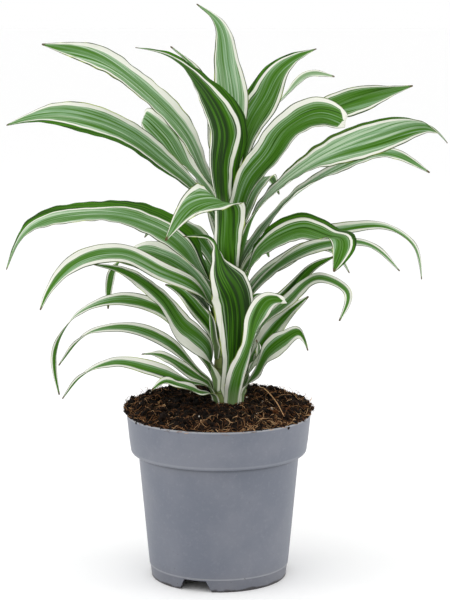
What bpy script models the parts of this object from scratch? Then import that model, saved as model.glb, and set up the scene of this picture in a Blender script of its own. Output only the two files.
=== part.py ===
"""Potted white jewel dracaena: a grey nursery pot, its soil, one cane and every strap leaf as its own solid.

Sizes below are in millimetres and degrees. The origin is on the pot's axis at its foot, with +Z up and the
plant's front towards -Y. Each leaf follows a smooth midrib from its clasping base on the cane to its tip.
"""

import math
from dataclasses import dataclass

import bmesh
import bpy
from mathutils import Matrix, Vector

MM = 0.001
GAP = 0.3

# Pot
POT_HEIGHT = 107.9
RIM_RADIUS = 60.0
BAND_FOOT_RADIUS = 57.4
BAND_BOTTOM = 82.2
BAND_ROUNDING = 2.6
BODY_TOP_RADIUS = 52.5
BODY_FOOT_RADIUS = 44.9
WALL = 1.2
LIP_ROUNDING = 0.5
BAND_ARC_STEPS = 4
LIP_ARC_STEPS = 3
SHARP_ANGLE = 30.0
FOOT_HEIGHT = 8.0
FOOT_INSET = 0.6
FOOT_RING_WIDTH = 2.2
POT_SIDES = 48
NOTCH_COUNT = 3
NOTCH_AZIMUTH = -110.0
NOTCH_TOP_WIDTH = 15.0
NOTCH_BOTTOM_WIDTH = 23.0
DRAIN_COUNT = 6
DRAIN_RADIUS = 4.0
DRAIN_CIRCLE = 33.0
DRAIN_SIDES = 16
CUT_SPARE = 1.0
POT_COLOUR = (0.2, 0.21, 0.235)

# Soil
SOIL_CENTRE = 115.0
SOIL_SHOULDER = 117.0
SOIL_FRONT_DROP = 7.0
SOIL_EDGE_BACK = 112.0
SOIL_EDGE_FRONT = 107.0
SOIL_RELIEF = 0.8
SOIL_SHOULDER_SHARE = 0.8
SOIL_PLAIN_SHARE = 0.85
SOIL_RING_SHARES = (0.26, 0.34, 0.44, 0.56, 0.7, 0.82, 0.92)
SOIL_COLOUR = (0.055, 0.03, 0.018)

# Cane
CANE_X = 6.0
CANE_FOOT = 74.0
CANE_TOP = 265.0
CANE_FOOT_RADIUS = 11.5
CANE_TOP_RADIUS = 4.2
CANE_SIDES = 14
CANE_RING_STEP = 24.0
CANE_RING_RISE = 0.15
CANE_RING_BEVEL = 1.0
CANE_TIP_LENGTH = 4.0
CANE_TIP_SHARE = 0.6
CANE_COLOUR = (0.2, 0.25, 0.1)

# Leaves
BLADE_THICKNESS = 0.7
BASE_SPARE = 0.2
BASE_CLEARANCE = GAP + BASE_SPARE + BLADE_THICKNESS / 2
LAUNCH_RISE = 3.0
LAUNCH_FLARE = 20.0
CLASP_CLOSENESS = 1.15
CLASP_END = 0.16
BASE_HALF_WIDTH = 2.0
BASE_WIDTH_SHARE = 0.19
BASE_GRIP = 1.05
WIDEST = 0.45
TIP_HALF_WIDTH = 0.5
CURVE_STEPS = 24
END_LEAN = 1.5
RIPPLE_LAG = 1.9
RIPPLE_RISE = 0.3
RIPPLE_FADE = 0.2
BROAD_WIDTH = 13.0
BROAD_COLUMNS = 4
NARROW_COLUMNS = 2
LONG_PATH = 5
LONG_ROWS = 14
SHORT_ROWS = 11
BLADE_COLOUR = (0.16, 0.3, 0.12)


@dataclass(frozen=True)
class Leaf:
    """One strap leaf: its root height on the cane, the midrib's further points, and its blade.

    The roll turns the blade about its midrib, to the first angle by the share roll_by of the length and to
    the second at the tip. The blade is broadest at the share widest and narrows from there to the tip.
    """

    name: str
    root: float
    path: tuple
    width: float
    roll: tuple = (0.0, 0.0)
    roll_by: float = 0.5
    widest: float = WIDEST
    taper: float = 1.6
    tip: float = TIP_HALF_WIDTH
    channel: float = 0.16
    wave: float = 1.0
    waves: float = 2.5


# The midrib points are (x, y, z), from the leaf's first bend to its tip.
LEAVES = (
    # Crown
    Leaf("leaf_spear", 258, ((8, 3, 291), (8, 5, 311), (5, 9, 333), (0, 13, 358), (-14, 18, 371)), 22,
         (26, 80), roll_by=0.23, taper=1.4),
    Leaf("leaf_crown_left", 245,
         ((-9, 7, 263), (-20, 13, 286), (-45, 20, 313), (-77, 26, 336), (-115, 33, 345)), 26, (-15, -98),
         roll_by=0.63, widest=0.51, taper=1.5),
    Leaf("leaf_crown_front", 238,
         ((3, -15, 268), (5, -28, 294), (-8, -39, 320), (-31, -46, 340), (-50, -53, 345)), 27, (-9, -50),
         roll_by=0.35, widest=0.48, taper=1.3),
    Leaf("leaf_crown_sliver", 253, ((-3, 11, 279), (-6, 16, 305), (-11, 19, 323), (-31, 22, 344)), 8),
    Leaf("leaf_crown_right", 249, ((14, 9, 280), (21, 18, 298), (29, 24, 311), (37, 30, 326), (64, 45, 342)),
         23, (41, 1), roll_by=0.58, widest=0.52, taper=1.45),
    Leaf("leaf_crown_back", 241, ((21, 34, 285), (45, 60, 311), (59, 75, 323), (79, 95, 322)), 13, (-45, 47),
         roll_by=0.57, widest=0.48, taper=1.8),
    Leaf("leaf_upper_right", 235,
         ((29, 10, 268), (45, 15, 287), (64, 22, 299), (93, 28, 310), (127, 37, 318)), 26, (2, 121),
         roll_by=0.46, widest=0.5, taper=1.65),
    Leaf("leaf_front_right", 230,
         ((19, -18, 262), (31, -28, 278), (42, -40, 295), (61, -50, 305), (77, -63, 301)), 23, (-16, -68),
         roll_by=0.67, widest=0.51, taper=5.0, tip=4.0),
    Leaf("leaf_wide_right", 206,
         ((23, -5, 238), (54, -15, 268), (95, -30, 288), (129, -48, 297), (138, -65, 288)), 31, (23, 144),
         roll_by=0.42, widest=0.28, taper=2.1, wave=1.4),
    Leaf("leaf_long_right", 200,
         ((30, 8, 229), (46, 12, 246), (75, 18, 264), (109, 24, 275), (138, 28, 262)), 20, (-9, 61),
         roll_by=0.44, widest=0.43, taper=1.4),
    Leaf("leaf_long_left", 226,
         ((-18, 13, 255), (-34, 21, 268), (-63, 31, 288), (-104, 42, 299), (-142, 60, 291)), 22, (-50, -43),
         roll_by=0.76, widest=0.65, taper=1.25),
    Leaf("leaf_behind_left", 220,
         ((-10, 32, 253), (-24, 48, 267), (-35, 61, 283), (-49, 72, 296), (-51, 79, 296)), 22, (34, -68),
         roll_by=0.39, widest=0.47, taper=4.0, tip=3.0),
    # Middle
    Leaf("leaf_folded_front", 190,
         ((5, -28, 221), (5, -44, 247), (0, -62, 253), (-17, -83, 251), (-31, -99, 233)), 26, (-23, -77),
         roll_by=0.45, widest=0.69, taper=0.8, channel=0.3),
    Leaf("leaf_middle_left", 182,
         ((-12, -4, 203), (-22, -5, 219), (-50, 4, 234), (-85, 15, 237), (-124, 25, 226), (-141, 35, 197)),
         27, (-50, -72), roll_by=0.25, widest=0.28),
    Leaf("leaf_left_hook", 166,
         ((-12, -16, 190), (-38, -31, 206), (-61, -43, 218), (-87, -55, 214), (-105, -62, 195),
          (-109, -65, 186)), 13, (-94, -34), roll_by=0.3, widest=0.63, taper=2.3),
    Leaf("leaf_left_hanging", 168,
         ((-16, 22, 195), (-36, 40, 206), (-53, 52, 208), (-68, 62, 198), (-76, 70, 165)), 17, (-40, -40)),
    Leaf("leaf_left_inner", 152,
         ((-6, -6, 175), (-21, -14, 194), (-34, -20, 202), (-46, -24, 206), (-63, -28, 211)), 17,
         (-40, -40)),
    Leaf("leaf_left_shaded", 144, ((-4, 14, 160), (-14, 24, 172), (-25, 36, 182), (-36, 48, 185)), 11,
         (-40, -40)),
    Leaf("leaf_right_arch", 180,
         ((26, -16, 216), (38, -24, 226), (53, -31, 232), (68, -38, 228), (76, -47, 227), (71, -54, 208)),
         27, (50, 16), roll_by=0.34, widest=0.54, taper=2.4),
    Leaf("leaf_right_far_hook", 190,
         ((27, 14, 213), (47, 20, 221), (73, 26, 224), (113, 32, 225), (129, 36, 213), (135, 38, 190)), 9,
         (35, 35)),
    Leaf("leaf_right_hook", 172, ((30, 4, 196), (43, 6, 206), (69, 10, 217), (98, 12, 216), (118, 14, 199)),
         11, (40, 40)),
    Leaf("leaf_right_small_hook", 168,
         ((28, 18, 195), (43, 24, 204), (60, 30, 213), (77, 36, 208), (87, 40, 194)), 10, (40, 40)),
    Leaf("leaf_right_vivid", 145, ((28, 12, 168), (42, 16, 179), (63, 22, 201), (76, 26, 207)), 12,
         (40, 40)),
    # Foot
    Leaf("leaf_right_low_arch", 132,
         ((29, -9, 168), (43, -16, 182), (65, -26, 200), (81, -30, 191), (76, -34, 174)), 13, (40, 40)),
    Leaf("leaf_right_low", 126, ((28, 12, 150), (40, 16, 165), (59, 22, 181)), 14, (40, 40)),
    Leaf("leaf_left_big_low", 131,
         ((-8, -10, 150), (-25, -20, 168), (-36, -27, 186), (-58, -36, 204), (-77, -49, 212)), 19,
         (-75, -40), roll_by=0.2, widest=0.3, taper=2.0),
    Leaf("leaf_left_twisted", 127.5,
         ((-15, 16, 147), (-38, 28, 171), (-66, 34, 177), (-96, 40, 165), (-110, 44, 141), (-108, 46, 110)),
         10, (-30, 20)),
    Leaf("leaf_left_low_long", 124,
         ((-13, 2, 134), (-30, 4, 151), (-58, 4, 163), (-84, 2, 160), (-104, 0, 139)), 9, (-30, -20)),
    Leaf("leaf_left_lowest", 120.5,
         ((-20, -10, 130), (-44, -20, 141), (-67, -26, 146), (-88, -30, 137), (-99, -34, 124)), 10,
         (-40, -20)),
    Leaf("leaf_left_low_back", 117, ((-19, 20, 130), (-39, 36, 139), (-52, 46, 138)), 9, (-30, -30)),
    Leaf("leaf_left_foot", 117, ((-13, -16, 125), (-24, -26, 131), (-34, -33, 135), (-42, -41, 131)), 10,
         (-35, -30)),
    Leaf("leaf_front_centre", 124.5,
         ((12, -20, 154), (10, -30, 189), (2, -41, 207), (-3, -48, 227), (-21, -65, 231)), 30, (11, 111),
         roll_by=0.46, widest=0.54, taper=0.8, channel=0.3),
    Leaf("leaf_front_low", 117,
         ((12, -22, 138), (19, -30, 157), (24, -39, 177), (31, -47, 189), (41, -59, 191)), 18, (41, -39),
         roll_by=0.45, widest=0.32, taper=2.9, tip=2.5),
    Leaf("leaf_front_right_low", 121,
         ((24, -7, 134), (32, -15, 150), (42, -24, 160), (51, -31, 166), (56, -39, 156)), 15.8, (48, 75),
         roll_by=0.32, widest=0.57, taper=1.1),
    Leaf("leaf_foot_short", 117, ((17, 8, 126), (21, 13, 135)), 8),
    Leaf("leaf_foot_upright", 128, ((22, -2, 141), (26, -8, 152), (24, -13, 158)), 9),
)

# Leaves at the back, which the front ones hide: their azimuths from +X, root heights, spans and rises
BACK_LEAVES = (
    (88, 121.5, 70, 34),
    (98, 132, 84, 40),
    (60, 140, 84, 46),
    (84, 149, 92, 46),
    (106, 160, 98, 46),
    (72, 176.5, 92, 44),
    (128, 194, 92, 42),
    (98, 204, 98, 46),
    (68, 216, 94, 48),
    (80, 231, 84, 62),
)
BACK_WIDTH = 17.0
BACK_DROOP = 22.0
BACK_SHARES = (0.28, 0.5, 0.75, 1.0)
BACK_RISE_PACE = 1.15


def back_leaf(number, azimuth, root, span, rise):
    """Return one arching leaf of the back, its path worked out from its span and rise."""
    turn = math.radians(azimuth)
    path = []
    for share in BACK_SHARES:
        out = span * share
        lift = rise * math.sin(min(share * BACK_RISE_PACE, 1.0) * math.pi / 2)
        height = root + lift - BACK_DROOP * share ** 4
        path.append((CANE_X + out * math.cos(turn), out * math.sin(turn), height))
    return Leaf(f"leaf_back_{number}", root, tuple(path), BACK_WIDTH)


def smooth(share):
    """Return 0 to 1 with level ends, for a share that may lie outside 0 to 1."""
    share = min(max(share, 0.0), 1.0)
    return share * share * (3 - 2 * share)


def add_material(name, colour, roughness):
    """Return a Principled material of one colour."""
    material = bpy.data.materials.new(name)
    material.use_nodes = True
    shader = material.node_tree.nodes["Principled BSDF"]
    shader.inputs["Base Color"].default_value = (*colour, 1.0)
    shader.inputs["Roughness"].default_value = roughness
    shader.inputs["Metallic"].default_value = 0.0
    return material


def add_object(name, bm, material, location=(0, 0, 0)):
    """Return a new object with the bmesh's shape, given in millimetres."""
    bmesh.ops.recalc_face_normals(bm, faces=bm.faces)
    bmesh.ops.transform(bm, matrix=Matrix.Scale(MM, 4), verts=bm.verts)
    mesh = bpy.data.meshes.new(name)
    bm.to_mesh(mesh)
    bm.free()
    mesh.materials.append(material)
    obj = bpy.data.objects.new(name, mesh)
    obj.location = Vector(location) * MM
    bpy.context.collection.objects.link(obj)
    return obj


def lathe(profile, sides):
    """Return a bmesh turned about Z from (radius, height) points that start and end on the axis."""
    bm = bmesh.new()
    chain = [bm.verts.new((radius, 0, height)) for radius, height in profile]
    edges = [bm.edges.new(pair) for pair in zip(chain, chain[1:])]
    bmesh.ops.spin(bm, geom=chain + edges, cent=(0, 0, 0), axis=(0, 0, 1), angle=math.tau, steps=sides,
                   use_merge=True)
    bmesh.ops.remove_doubles(bm, verts=bm.verts, dist=1e-4)
    return bm


def arc(centre, radius, start, end, steps):
    """Return points on an arc in the profile's plane, with both ends."""
    points = []
    for step in range(steps + 1):
        turn = math.radians(start + (end - start) * step / steps)
        points.append((centre[0] + radius * math.cos(turn), centre[1] + radius * math.sin(turn)))
    return points


def body_radius(height):
    """Return the outer radius of the pot's tapered body at a height."""
    return BODY_FOOT_RADIUS + (BODY_TOP_RADIUS - BODY_FOOT_RADIUS) * height / BAND_BOTTOM


def band_radius(height):
    """Return the outer radius of the rim band at a height."""
    share = (height - BAND_BOTTOM) / (POT_HEIGHT - BAND_BOTTOM)
    return BAND_FOOT_RADIUS + (RIM_RADIUS - BAND_FOOT_RADIUS) * share


def make_pot():
    """Make the pot: body, stepped rim band, raised floor with drain holes, and a notched foot ring."""
    foot_inner = body_radius(0) - FOOT_INSET - FOOT_RING_WIDTH
    floor_top = FOOT_HEIGHT + WALL
    shoulder = BAND_BOTTOM + WALL
    rounding_centre = (band_radius(BAND_BOTTOM) - BAND_ROUNDING, BAND_BOTTOM + BAND_ROUNDING)
    lip_centre = (RIM_RADIUS - LIP_ROUNDING, POT_HEIGHT - LIP_ROUNDING)
    profile = [
        (0, FOOT_HEIGHT),
        (foot_inner, FOOT_HEIGHT),
        (foot_inner, 0),
        (body_radius(0) - FOOT_INSET, 0),
        (body_radius(FOOT_HEIGHT) - FOOT_INSET, FOOT_HEIGHT - FOOT_INSET),
        (body_radius(FOOT_HEIGHT), FOOT_HEIGHT),
        (body_radius(BAND_BOTTOM), BAND_BOTTOM),
    ]
    profile += arc(rounding_centre, BAND_ROUNDING, -90, 0, BAND_ARC_STEPS)
    profile += arc(lip_centre, LIP_ROUNDING, 0, 90, LIP_ARC_STEPS)
    profile += [
        (RIM_RADIUS - WALL, POT_HEIGHT - LIP_ROUNDING / 2),
        (band_radius(shoulder) - WALL, shoulder),
        (body_radius(shoulder) - WALL, shoulder),
        (body_radius(floor_top) - WALL, floor_top),
        (0, floor_top),
    ]
    pot = add_object("pot", lathe(profile, POT_SIDES), add_material("pot_plastic", POT_COLOUR, 0.45))
    cutters = [notch_cutter(number, foot_inner) for number in range(NOTCH_COUNT)]
    cutters += [drain_cutter(number, floor_top) for number in range(DRAIN_COUNT)]
    for cutter in cutters:
        cut = pot.modifiers.new(cutter.name, "BOOLEAN")
        cut.operation = "DIFFERENCE"
        cut.solver = "EXACT"
        cut.object = cutter
    pot.data.set_sharp_from_angle(angle=math.radians(SHARP_ANGLE))


def hide_cutter(cutter):
    """Mark an object as a cutter, which is not a piece of the pot."""
    cutter.hide_render = True
    cutter.display_type = "WIRE"
    return cutter


def notch_cutter(number, foot_inner):
    """Return the cutter for one drainage notch, a trapezoid through the foot ring."""
    bm = bmesh.new()
    near = foot_inner - WALL
    far = body_radius(0) + WALL
    sides = ((NOTCH_BOTTOM_WIDTH / 2, -CUT_SPARE), (NOTCH_TOP_WIDTH / 2, FOOT_HEIGHT - FOOT_INSET))
    corners = []
    for radius in (near, far):
        for half, height in sides:
            corners += [(radius, -half, height), (radius, half, height)]
    bmesh.ops.convex_hull(bm, input=[bm.verts.new(corner) for corner in corners])
    cutter = add_object(f"notch_cutter_{number}", bm, None)
    cutter.rotation_euler.z = math.radians(NOTCH_AZIMUTH + number * 360 / NOTCH_COUNT)
    return hide_cutter(cutter)


def drain_cutter(number, floor_top):
    """Return the cutter for one round drain hole through the raised floor."""
    bm = bmesh.new()
    bmesh.ops.create_cone(bm, cap_ends=True, segments=DRAIN_SIDES, radius1=DRAIN_RADIUS,
                          radius2=DRAIN_RADIUS, depth=WALL + 2 * CUT_SPARE)
    turn = math.radians(360 * number / DRAIN_COUNT)
    place = (DRAIN_CIRCLE * math.cos(turn), DRAIN_CIRCLE * math.sin(turn), floor_top - WALL / 2)
    return hide_cutter(add_object(f"drain_cutter_{number}", bm, None, place))


def soil_height(x, y):
    """Return the heaped soil's surface height: level with the rim in front and higher behind."""
    out = math.hypot(x, y) / (RIM_RADIUS - WALL)
    front = smooth(0.5 - 0.5 * y / max(math.hypot(x, y), 1.0)) ** 2
    edge = SOIL_EDGE_BACK + (SOIL_EDGE_FRONT - SOIL_EDGE_BACK) * front
    shoulder = SOIL_SHOULDER - SOIL_FRONT_DROP * front * out
    inner = SOIL_CENTRE + (shoulder - SOIL_CENTRE) * smooth(out / SOIL_SHOULDER_SHARE)
    height = inner + (edge - inner) * smooth((out - SOIL_SHOULDER_SHARE) / (1 - SOIL_SHOULDER_SHARE))
    relief = math.sin(0.31 * x + 1.3) * math.sin(0.27 * y + 0.4) + math.sin(0.53 * x - 0.41 * y)
    return height + SOIL_RELIEF * relief * (1 - smooth((out - SOIL_PLAIN_SHARE) / (1 - SOIL_PLAIN_SHARE)))


def make_soil():
    """Make the soil that fills the pot, with a plain round hole where the cane stands."""
    floor = FOOT_HEIGHT + WALL + GAP
    shoulder = BAND_BOTTOM + WALL + GAP
    inset = WALL + GAP
    rim = RIM_RADIUS - inset - LIP_ROUNDING
    hole = CANE_FOOT_RADIUS + GAP
    bm = bmesh.new()
    rings = []

    def ring(radius, height=None, centre_x=0.0):
        """Add one ring of points, on the relief where no height is given."""
        verts = []
        for side in range(POT_SIDES):
            turn = math.tau * side / POT_SIDES
            x = centre_x + radius * math.cos(turn)
            y = radius * math.sin(turn)
            verts.append(bm.verts.new((x, y, soil_height(x, y) if height is None else height)))
        rings.append(verts)

    ring(hole, CANE_FOOT - GAP, CANE_X)
    ring(hole, None, CANE_X)
    for share in SOIL_RING_SHARES:
        ring(rim * share, None, CANE_X * (1 - share))
    ring(rim)
    ring(band_radius(shoulder) - inset, shoulder)
    ring(body_radius(shoulder) - inset, shoulder)
    ring(body_radius(floor) - inset, floor)
    for inner, outer in zip(rings, rings[1:]):
        for side in range(POT_SIDES):
            after = (side + 1) % POT_SIDES
            bm.faces.new((inner[side], outer[side], outer[after], inner[after]))
    bm.faces.new(rings[0])
    bm.faces.new(rings[-1])
    bmesh.ops.triangulate(bm, faces=bm.faces)
    add_object("soil", bm, add_material("soil_peat", SOIL_COLOUR, 0.95))


def cane_radius(height):
    """Return the cane's radius at a height, thicker at its foot."""
    share = (height - CANE_FOOT) / (CANE_TOP - CANE_FOOT)
    return CANE_FOOT_RADIUS + (CANE_TOP_RADIUS - CANE_FOOT_RADIUS) * share


def make_cane():
    """Make the upright cane, with low rings where leaves grew and a rounded growing point."""
    profile = [(0, CANE_FOOT), (cane_radius(CANE_FOOT), CANE_FOOT)]
    rings = int((CANE_TOP - CANE_FOOT) / CANE_RING_STEP)
    for number in range(1, rings):
        height = CANE_FOOT + number * CANE_RING_STEP
        profile.append((cane_radius(height) - CANE_RING_RISE, height - CANE_RING_BEVEL))
        profile.append((cane_radius(height), height))
    profile += [
        (CANE_TOP_RADIUS, CANE_TOP - CANE_TIP_LENGTH),
        (CANE_TOP_RADIUS * CANE_TIP_SHARE, CANE_TOP - CANE_RING_BEVEL),
        (0, CANE_TOP),
    ]
    bark = add_material("cane_bark", CANE_COLOUR, 0.6)
    add_object("stem", lathe(profile, CANE_SIDES), bark, (CANE_X, 0, 0))


def midrib(leaf):
    """Return the leaf's midrib as close points, and the way its upper face looks at the root."""
    axis = Vector((CANE_X, 0, 0))
    first = Vector(leaf.path[0])
    outward = Vector((first.x - axis.x, first.y - axis.y, 0)).normalized()
    root = axis + outward * (cane_radius(leaf.root) + BASE_CLEARANCE) + Vector((0, 0, leaf.root))
    flare = math.radians(LAUNCH_FLARE)
    launch = root + LAUNCH_RISE * (outward * math.sin(flare) + Vector((0, 0, math.cos(flare))))
    knots = [root, launch] + [Vector(point) for point in leaf.path]
    return through(knots), -outward


def through(knots):
    """Return close points on a smooth curve through the knots."""
    spans = [(b - a).length for a, b in zip(knots, knots[1:])]
    slopes = [(knots[1] - knots[0]) / spans[0]]
    for number in range(1, len(knots) - 1):
        before = (knots[number] - knots[number - 1]) / spans[number - 1]
        after = (knots[number + 1] - knots[number]) / spans[number]
        share = spans[number - 1] / (spans[number - 1] + spans[number])
        slopes.append(before.lerp(after, share))
    slopes.append((knots[-1] - knots[-2]) / spans[-1] * END_LEAN - slopes[-1] * (END_LEAN - 1))
    points = [knots[0]]
    for number, span in enumerate(spans):
        for step in range(1, CURVE_STEPS + 1):
            t = step / CURVE_STEPS
            points.append(knots[number] * (2 * t ** 3 - 3 * t ** 2 + 1)
                          + slopes[number] * span * (t ** 3 - 2 * t ** 2 + t)
                          + knots[number + 1] * (3 * t ** 2 - 2 * t ** 3)
                          + slopes[number + 1] * span * (t ** 3 - t ** 2))
    return points


def stations(points, count):
    """Return count + 1 points evenly spaced along a line of close points."""
    lengths = [0.0]
    for a, b in zip(points, points[1:]):
        lengths.append(lengths[-1] + (b - a).length)
    result = []
    number = 0
    for step in range(count + 1):
        target = lengths[-1] * step / count
        while number < len(points) - 2 and lengths[number + 1] < target:
            number += 1
        share = (target - lengths[number]) / (lengths[number + 1] - lengths[number])
        result.append(points[number].lerp(points[number + 1], min(share, 1.0)))
    return result


def base_half_width(leaf):
    """Return the half width of the blade's base, which clasps the cane part of the way round."""
    grip = BASE_GRIP * (cane_radius(leaf.root) + BASE_CLEARANCE)
    return min(leaf.width / 2, BASE_HALF_WIDTH + BASE_WIDTH_SHARE * leaf.width, grip)


def half_width(leaf, v):
    """Return the blade's half width at share v of its length."""
    full = leaf.width / 2
    base = base_half_width(leaf)
    if v < leaf.widest:
        return base + (full - base) * smooth(v / leaf.widest)
    share = (v - leaf.widest) / (1 - leaf.widest)
    return leaf.tip + (full - leaf.tip) * (1 - share ** leaf.taper)


def cupping(leaf, v):
    """Return the edges' rise above the midrib as a share of the half width: round the cane at the base."""
    clasp = CLASP_CLOSENESS * base_half_width(leaf) / (2 * (cane_radius(leaf.root) + BASE_CLEARANCE))
    return leaf.channel + (clasp - leaf.channel) * (1 - smooth(v / CLASP_END))


def roll_angle(leaf, v):
    """Return the blade's turn about its midrib at share v of its length, in degrees."""
    first, last = leaf.roll
    later = smooth((v - leaf.roll_by) / (1 - leaf.roll_by))
    return first * smooth(v / leaf.roll_by) + (last - first) * later


def blade_surface(leaf, rows, columns):
    """Return the blade's middle surface as rows of points, from root to tip."""
    line, normal = midrib(leaf)
    points = stations(line, rows)
    grid = []
    for number, point in enumerate(points):
        v = number / rows
        before = points[max(number - 1, 0)]
        after = points[min(number + 1, rows)]
        tangent = (after - before).normalized()
        normal = (normal - tangent * normal.dot(tangent)).normalized()
        turned = Matrix.Rotation(math.radians(roll_angle(leaf, v)), 3, tangent) @ normal
        side = tangent.cross(turned)
        half = half_width(leaf, v)
        cup = cupping(leaf, v)
        swing = leaf.wave * smooth(v / RIPPLE_RISE) * smooth((1 - v) / RIPPLE_FADE)
        row = []
        for column in range(columns + 1):
            u = 2 * column / columns - 1
            ripple = swing * u * u * math.sin(math.tau * leaf.waves * v + (RIPPLE_LAG if u > 0 else 0.0))
            row.append(point + side * (half * u) + turned * (half * cup * u * u + ripple))
        grid.append(row)
    return grid


def blade_normals(grid):
    """Return the unit normal at each point of a grid of rows."""
    normals = []
    for i, row in enumerate(grid):
        before = grid[max(i - 1, 0)]
        after = grid[min(i + 1, len(grid) - 1)]
        line = []
        for j in range(len(row)):
            along = after[j] - before[j]
            across = row[min(j + 1, len(row) - 1)] - row[max(j - 1, 0)]
            line.append(across.cross(along).normalized())
        normals.append(line)
    return normals


def make_leaf(leaf, material):
    """Make one leaf as a thin closed solid, split into triangles alike on both faces."""
    rows = LONG_ROWS if len(leaf.path) >= LONG_PATH else SHORT_ROWS
    columns = BROAD_COLUMNS if leaf.width >= BROAD_WIDTH else NARROW_COLUMNS
    grid = blade_surface(leaf, rows, columns)
    normals = blade_normals(grid)
    bm = bmesh.new()
    half = BLADE_THICKNESS / 2
    upper = [[bm.verts.new(p + n * half) for p, n in zip(*pair)] for pair in zip(grid, normals)]
    lower = [[bm.verts.new(p - n * half) for p, n in zip(*pair)] for pair in zip(grid, normals)]
    for i in range(rows):
        for j in range(columns):
            for face in (upper, lower):
                a, b, c, d = face[i][j], face[i][j + 1], face[i + 1][j + 1], face[i + 1][j]
                if j < columns / 2:
                    bm.faces.new((a, b, c))
                    bm.faces.new((a, c, d))
                else:
                    bm.faces.new((a, b, d))
                    bm.faces.new((b, c, d))
        for j in (0, columns):
            bm.faces.new((upper[i][j], upper[i + 1][j], lower[i + 1][j]))
            bm.faces.new((upper[i][j], lower[i + 1][j], lower[i][j]))
    for i in (0, rows):
        for j in range(columns):
            bm.faces.new((upper[i][j], upper[i][j + 1], lower[i][j + 1]))
            bm.faces.new((upper[i][j], lower[i][j + 1], lower[i][j]))
    obj = add_object(leaf.name, bm, material)
    obj.data.shade_smooth()


def main():
    """Clear the scene and make the pot, the soil, the cane and the leaves."""
    for obj in list(bpy.data.objects):
        bpy.data.objects.remove(obj, do_unlink=True)
    make_pot()
    make_soil()
    make_cane()
    leaves = LEAVES + tuple(back_leaf(number + 1, *row) for number, row in enumerate(BACK_LEAVES))
    for leaf in leaves:
        make_leaf(leaf, add_material(f"{leaf.name}_blade", BLADE_COLOUR, 0.4))


main()
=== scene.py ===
"""Looks of a potted white jewel dracaena: striped leaves, sheathed cane, heaped peat and a grey nursery pot.

Sizes are in millimetres and degrees unless a name says otherwise, and every mesh is scaled to metres when
it is made. The origin is on the pot's axis at its foot, +Z is up and the plant's front looks towards -Y.
"""

from __future__ import annotations

import logging
import math
from dataclasses import dataclass, field
from enum import Enum

import bmesh
import bpy
import numpy as np
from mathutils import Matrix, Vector


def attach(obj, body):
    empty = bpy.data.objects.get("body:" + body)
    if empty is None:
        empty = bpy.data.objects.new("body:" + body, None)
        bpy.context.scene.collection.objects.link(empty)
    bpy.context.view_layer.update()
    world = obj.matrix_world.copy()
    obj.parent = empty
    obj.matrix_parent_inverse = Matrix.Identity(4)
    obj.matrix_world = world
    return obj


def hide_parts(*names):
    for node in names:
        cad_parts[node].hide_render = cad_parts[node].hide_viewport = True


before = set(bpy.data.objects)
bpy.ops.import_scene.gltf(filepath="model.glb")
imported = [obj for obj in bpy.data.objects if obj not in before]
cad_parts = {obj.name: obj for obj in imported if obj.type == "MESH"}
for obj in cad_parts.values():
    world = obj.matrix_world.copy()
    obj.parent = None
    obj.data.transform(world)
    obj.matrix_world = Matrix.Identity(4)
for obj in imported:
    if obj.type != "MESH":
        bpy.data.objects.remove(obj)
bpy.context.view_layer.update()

LOG = logging.getLogger("dracaena")
MM = 0.001
BODY = "root"

Colour = tuple[float, float, float]
Point = tuple[float, float, float]
Pair = tuple[float, float]
Layers = tuple[tuple[float, float, int], ...]
Array = np.ndarray
Faces = list[list[int]]
Piece = bpy.types.Object
Material = bpy.types.Material
Random = np.random.Generator


class Slot(Enum):
    """The record's material slots."""

    POT = "pot_plastic"
    SOIL = "soil_peat"
    CANE = "cane_bark"
    LEAF = "leaf_blade"


def tone(*levels: int) -> Colour:
    """Return the linear colour of an 8-bit display colour's red, green and blue."""
    shares = [level / 255 for level in levels]
    return tuple(s / 12.92 if s <= 0.04045 else ((s + 0.055) / 1.055) ** 2.4 for s in shares)


def smooth(share: Array | float) -> Array | float:
    """Return 0 to 1 with level ends, for shares that may lie outside 0 to 1."""
    held = np.clip(share, 0.0, 1.0)
    return held * held * (3 - 2 * held)


def unit(vectors: Array) -> Array:
    """Return vectors of length one, along the last axis."""
    return vectors / np.linalg.norm(vectors, axis=-1, keepdims=True)


def ripple_noise(points: Array, pitch: float, seed: int, waves: int = 9) -> Array:
    """Return a soft noise of about -1 to 1, a sum of waves in random directions.

    Args:
        points: Points as rows of three numbers.
        pitch: The typical length of one wave.
        seed: The seed of the directions and phases.
        waves: How many waves there are.

    Returns:
        One value for each point.
    """
    rng = np.random.default_rng(seed)
    total = np.zeros(len(points))
    for _ in range(waves):
        way = rng.normal(size=3)
        way *= rng.uniform(0.6, 1.6) * math.tau / pitch / np.linalg.norm(way)
        total += np.sin(points @ way + rng.uniform(0, math.tau))
    return total / math.sqrt(waves)


def layered_noise(points: Array, layers: Layers) -> Array:
    """Return a sum of soft noises, with a row of a height, a pitch and a seed for each."""
    return sum(height * ripple_noise(points, pitch, seed) for height, pitch, seed in layers)


def ray(turn: float) -> Array:
    """Return the level direction at an angle from +X, in radians."""
    return np.array([math.cos(turn), math.sin(turn)])


def spread(size: tuple[int, int], *parts: Array | float) -> Array:
    """Return a row of values for each point of a grid, from parts that are spread over the grid."""
    return np.stack([np.broadcast_to(part, size) for part in parts], axis=-1).reshape(-1, len(parts))


def weave(numbers: Array) -> Faces:
    """Return the four-sided faces between the neighbours in a grid of point numbers."""
    corners = (numbers[:-1, :-1], numbers[:-1, 1:], numbers[1:, 1:], numbers[1:, :-1])
    return np.stack(corners, axis=-1).reshape(-1, 4).tolist()


def ringed(start: int, rings: int, sides: int) -> Array:
    """Return the point numbers of closed rings from a start on, with each ring's first at both its ends."""
    numbers = start + np.arange(rings * sides).reshape(rings, sides)
    return np.column_stack([numbers, numbers[:, 0]])


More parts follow.
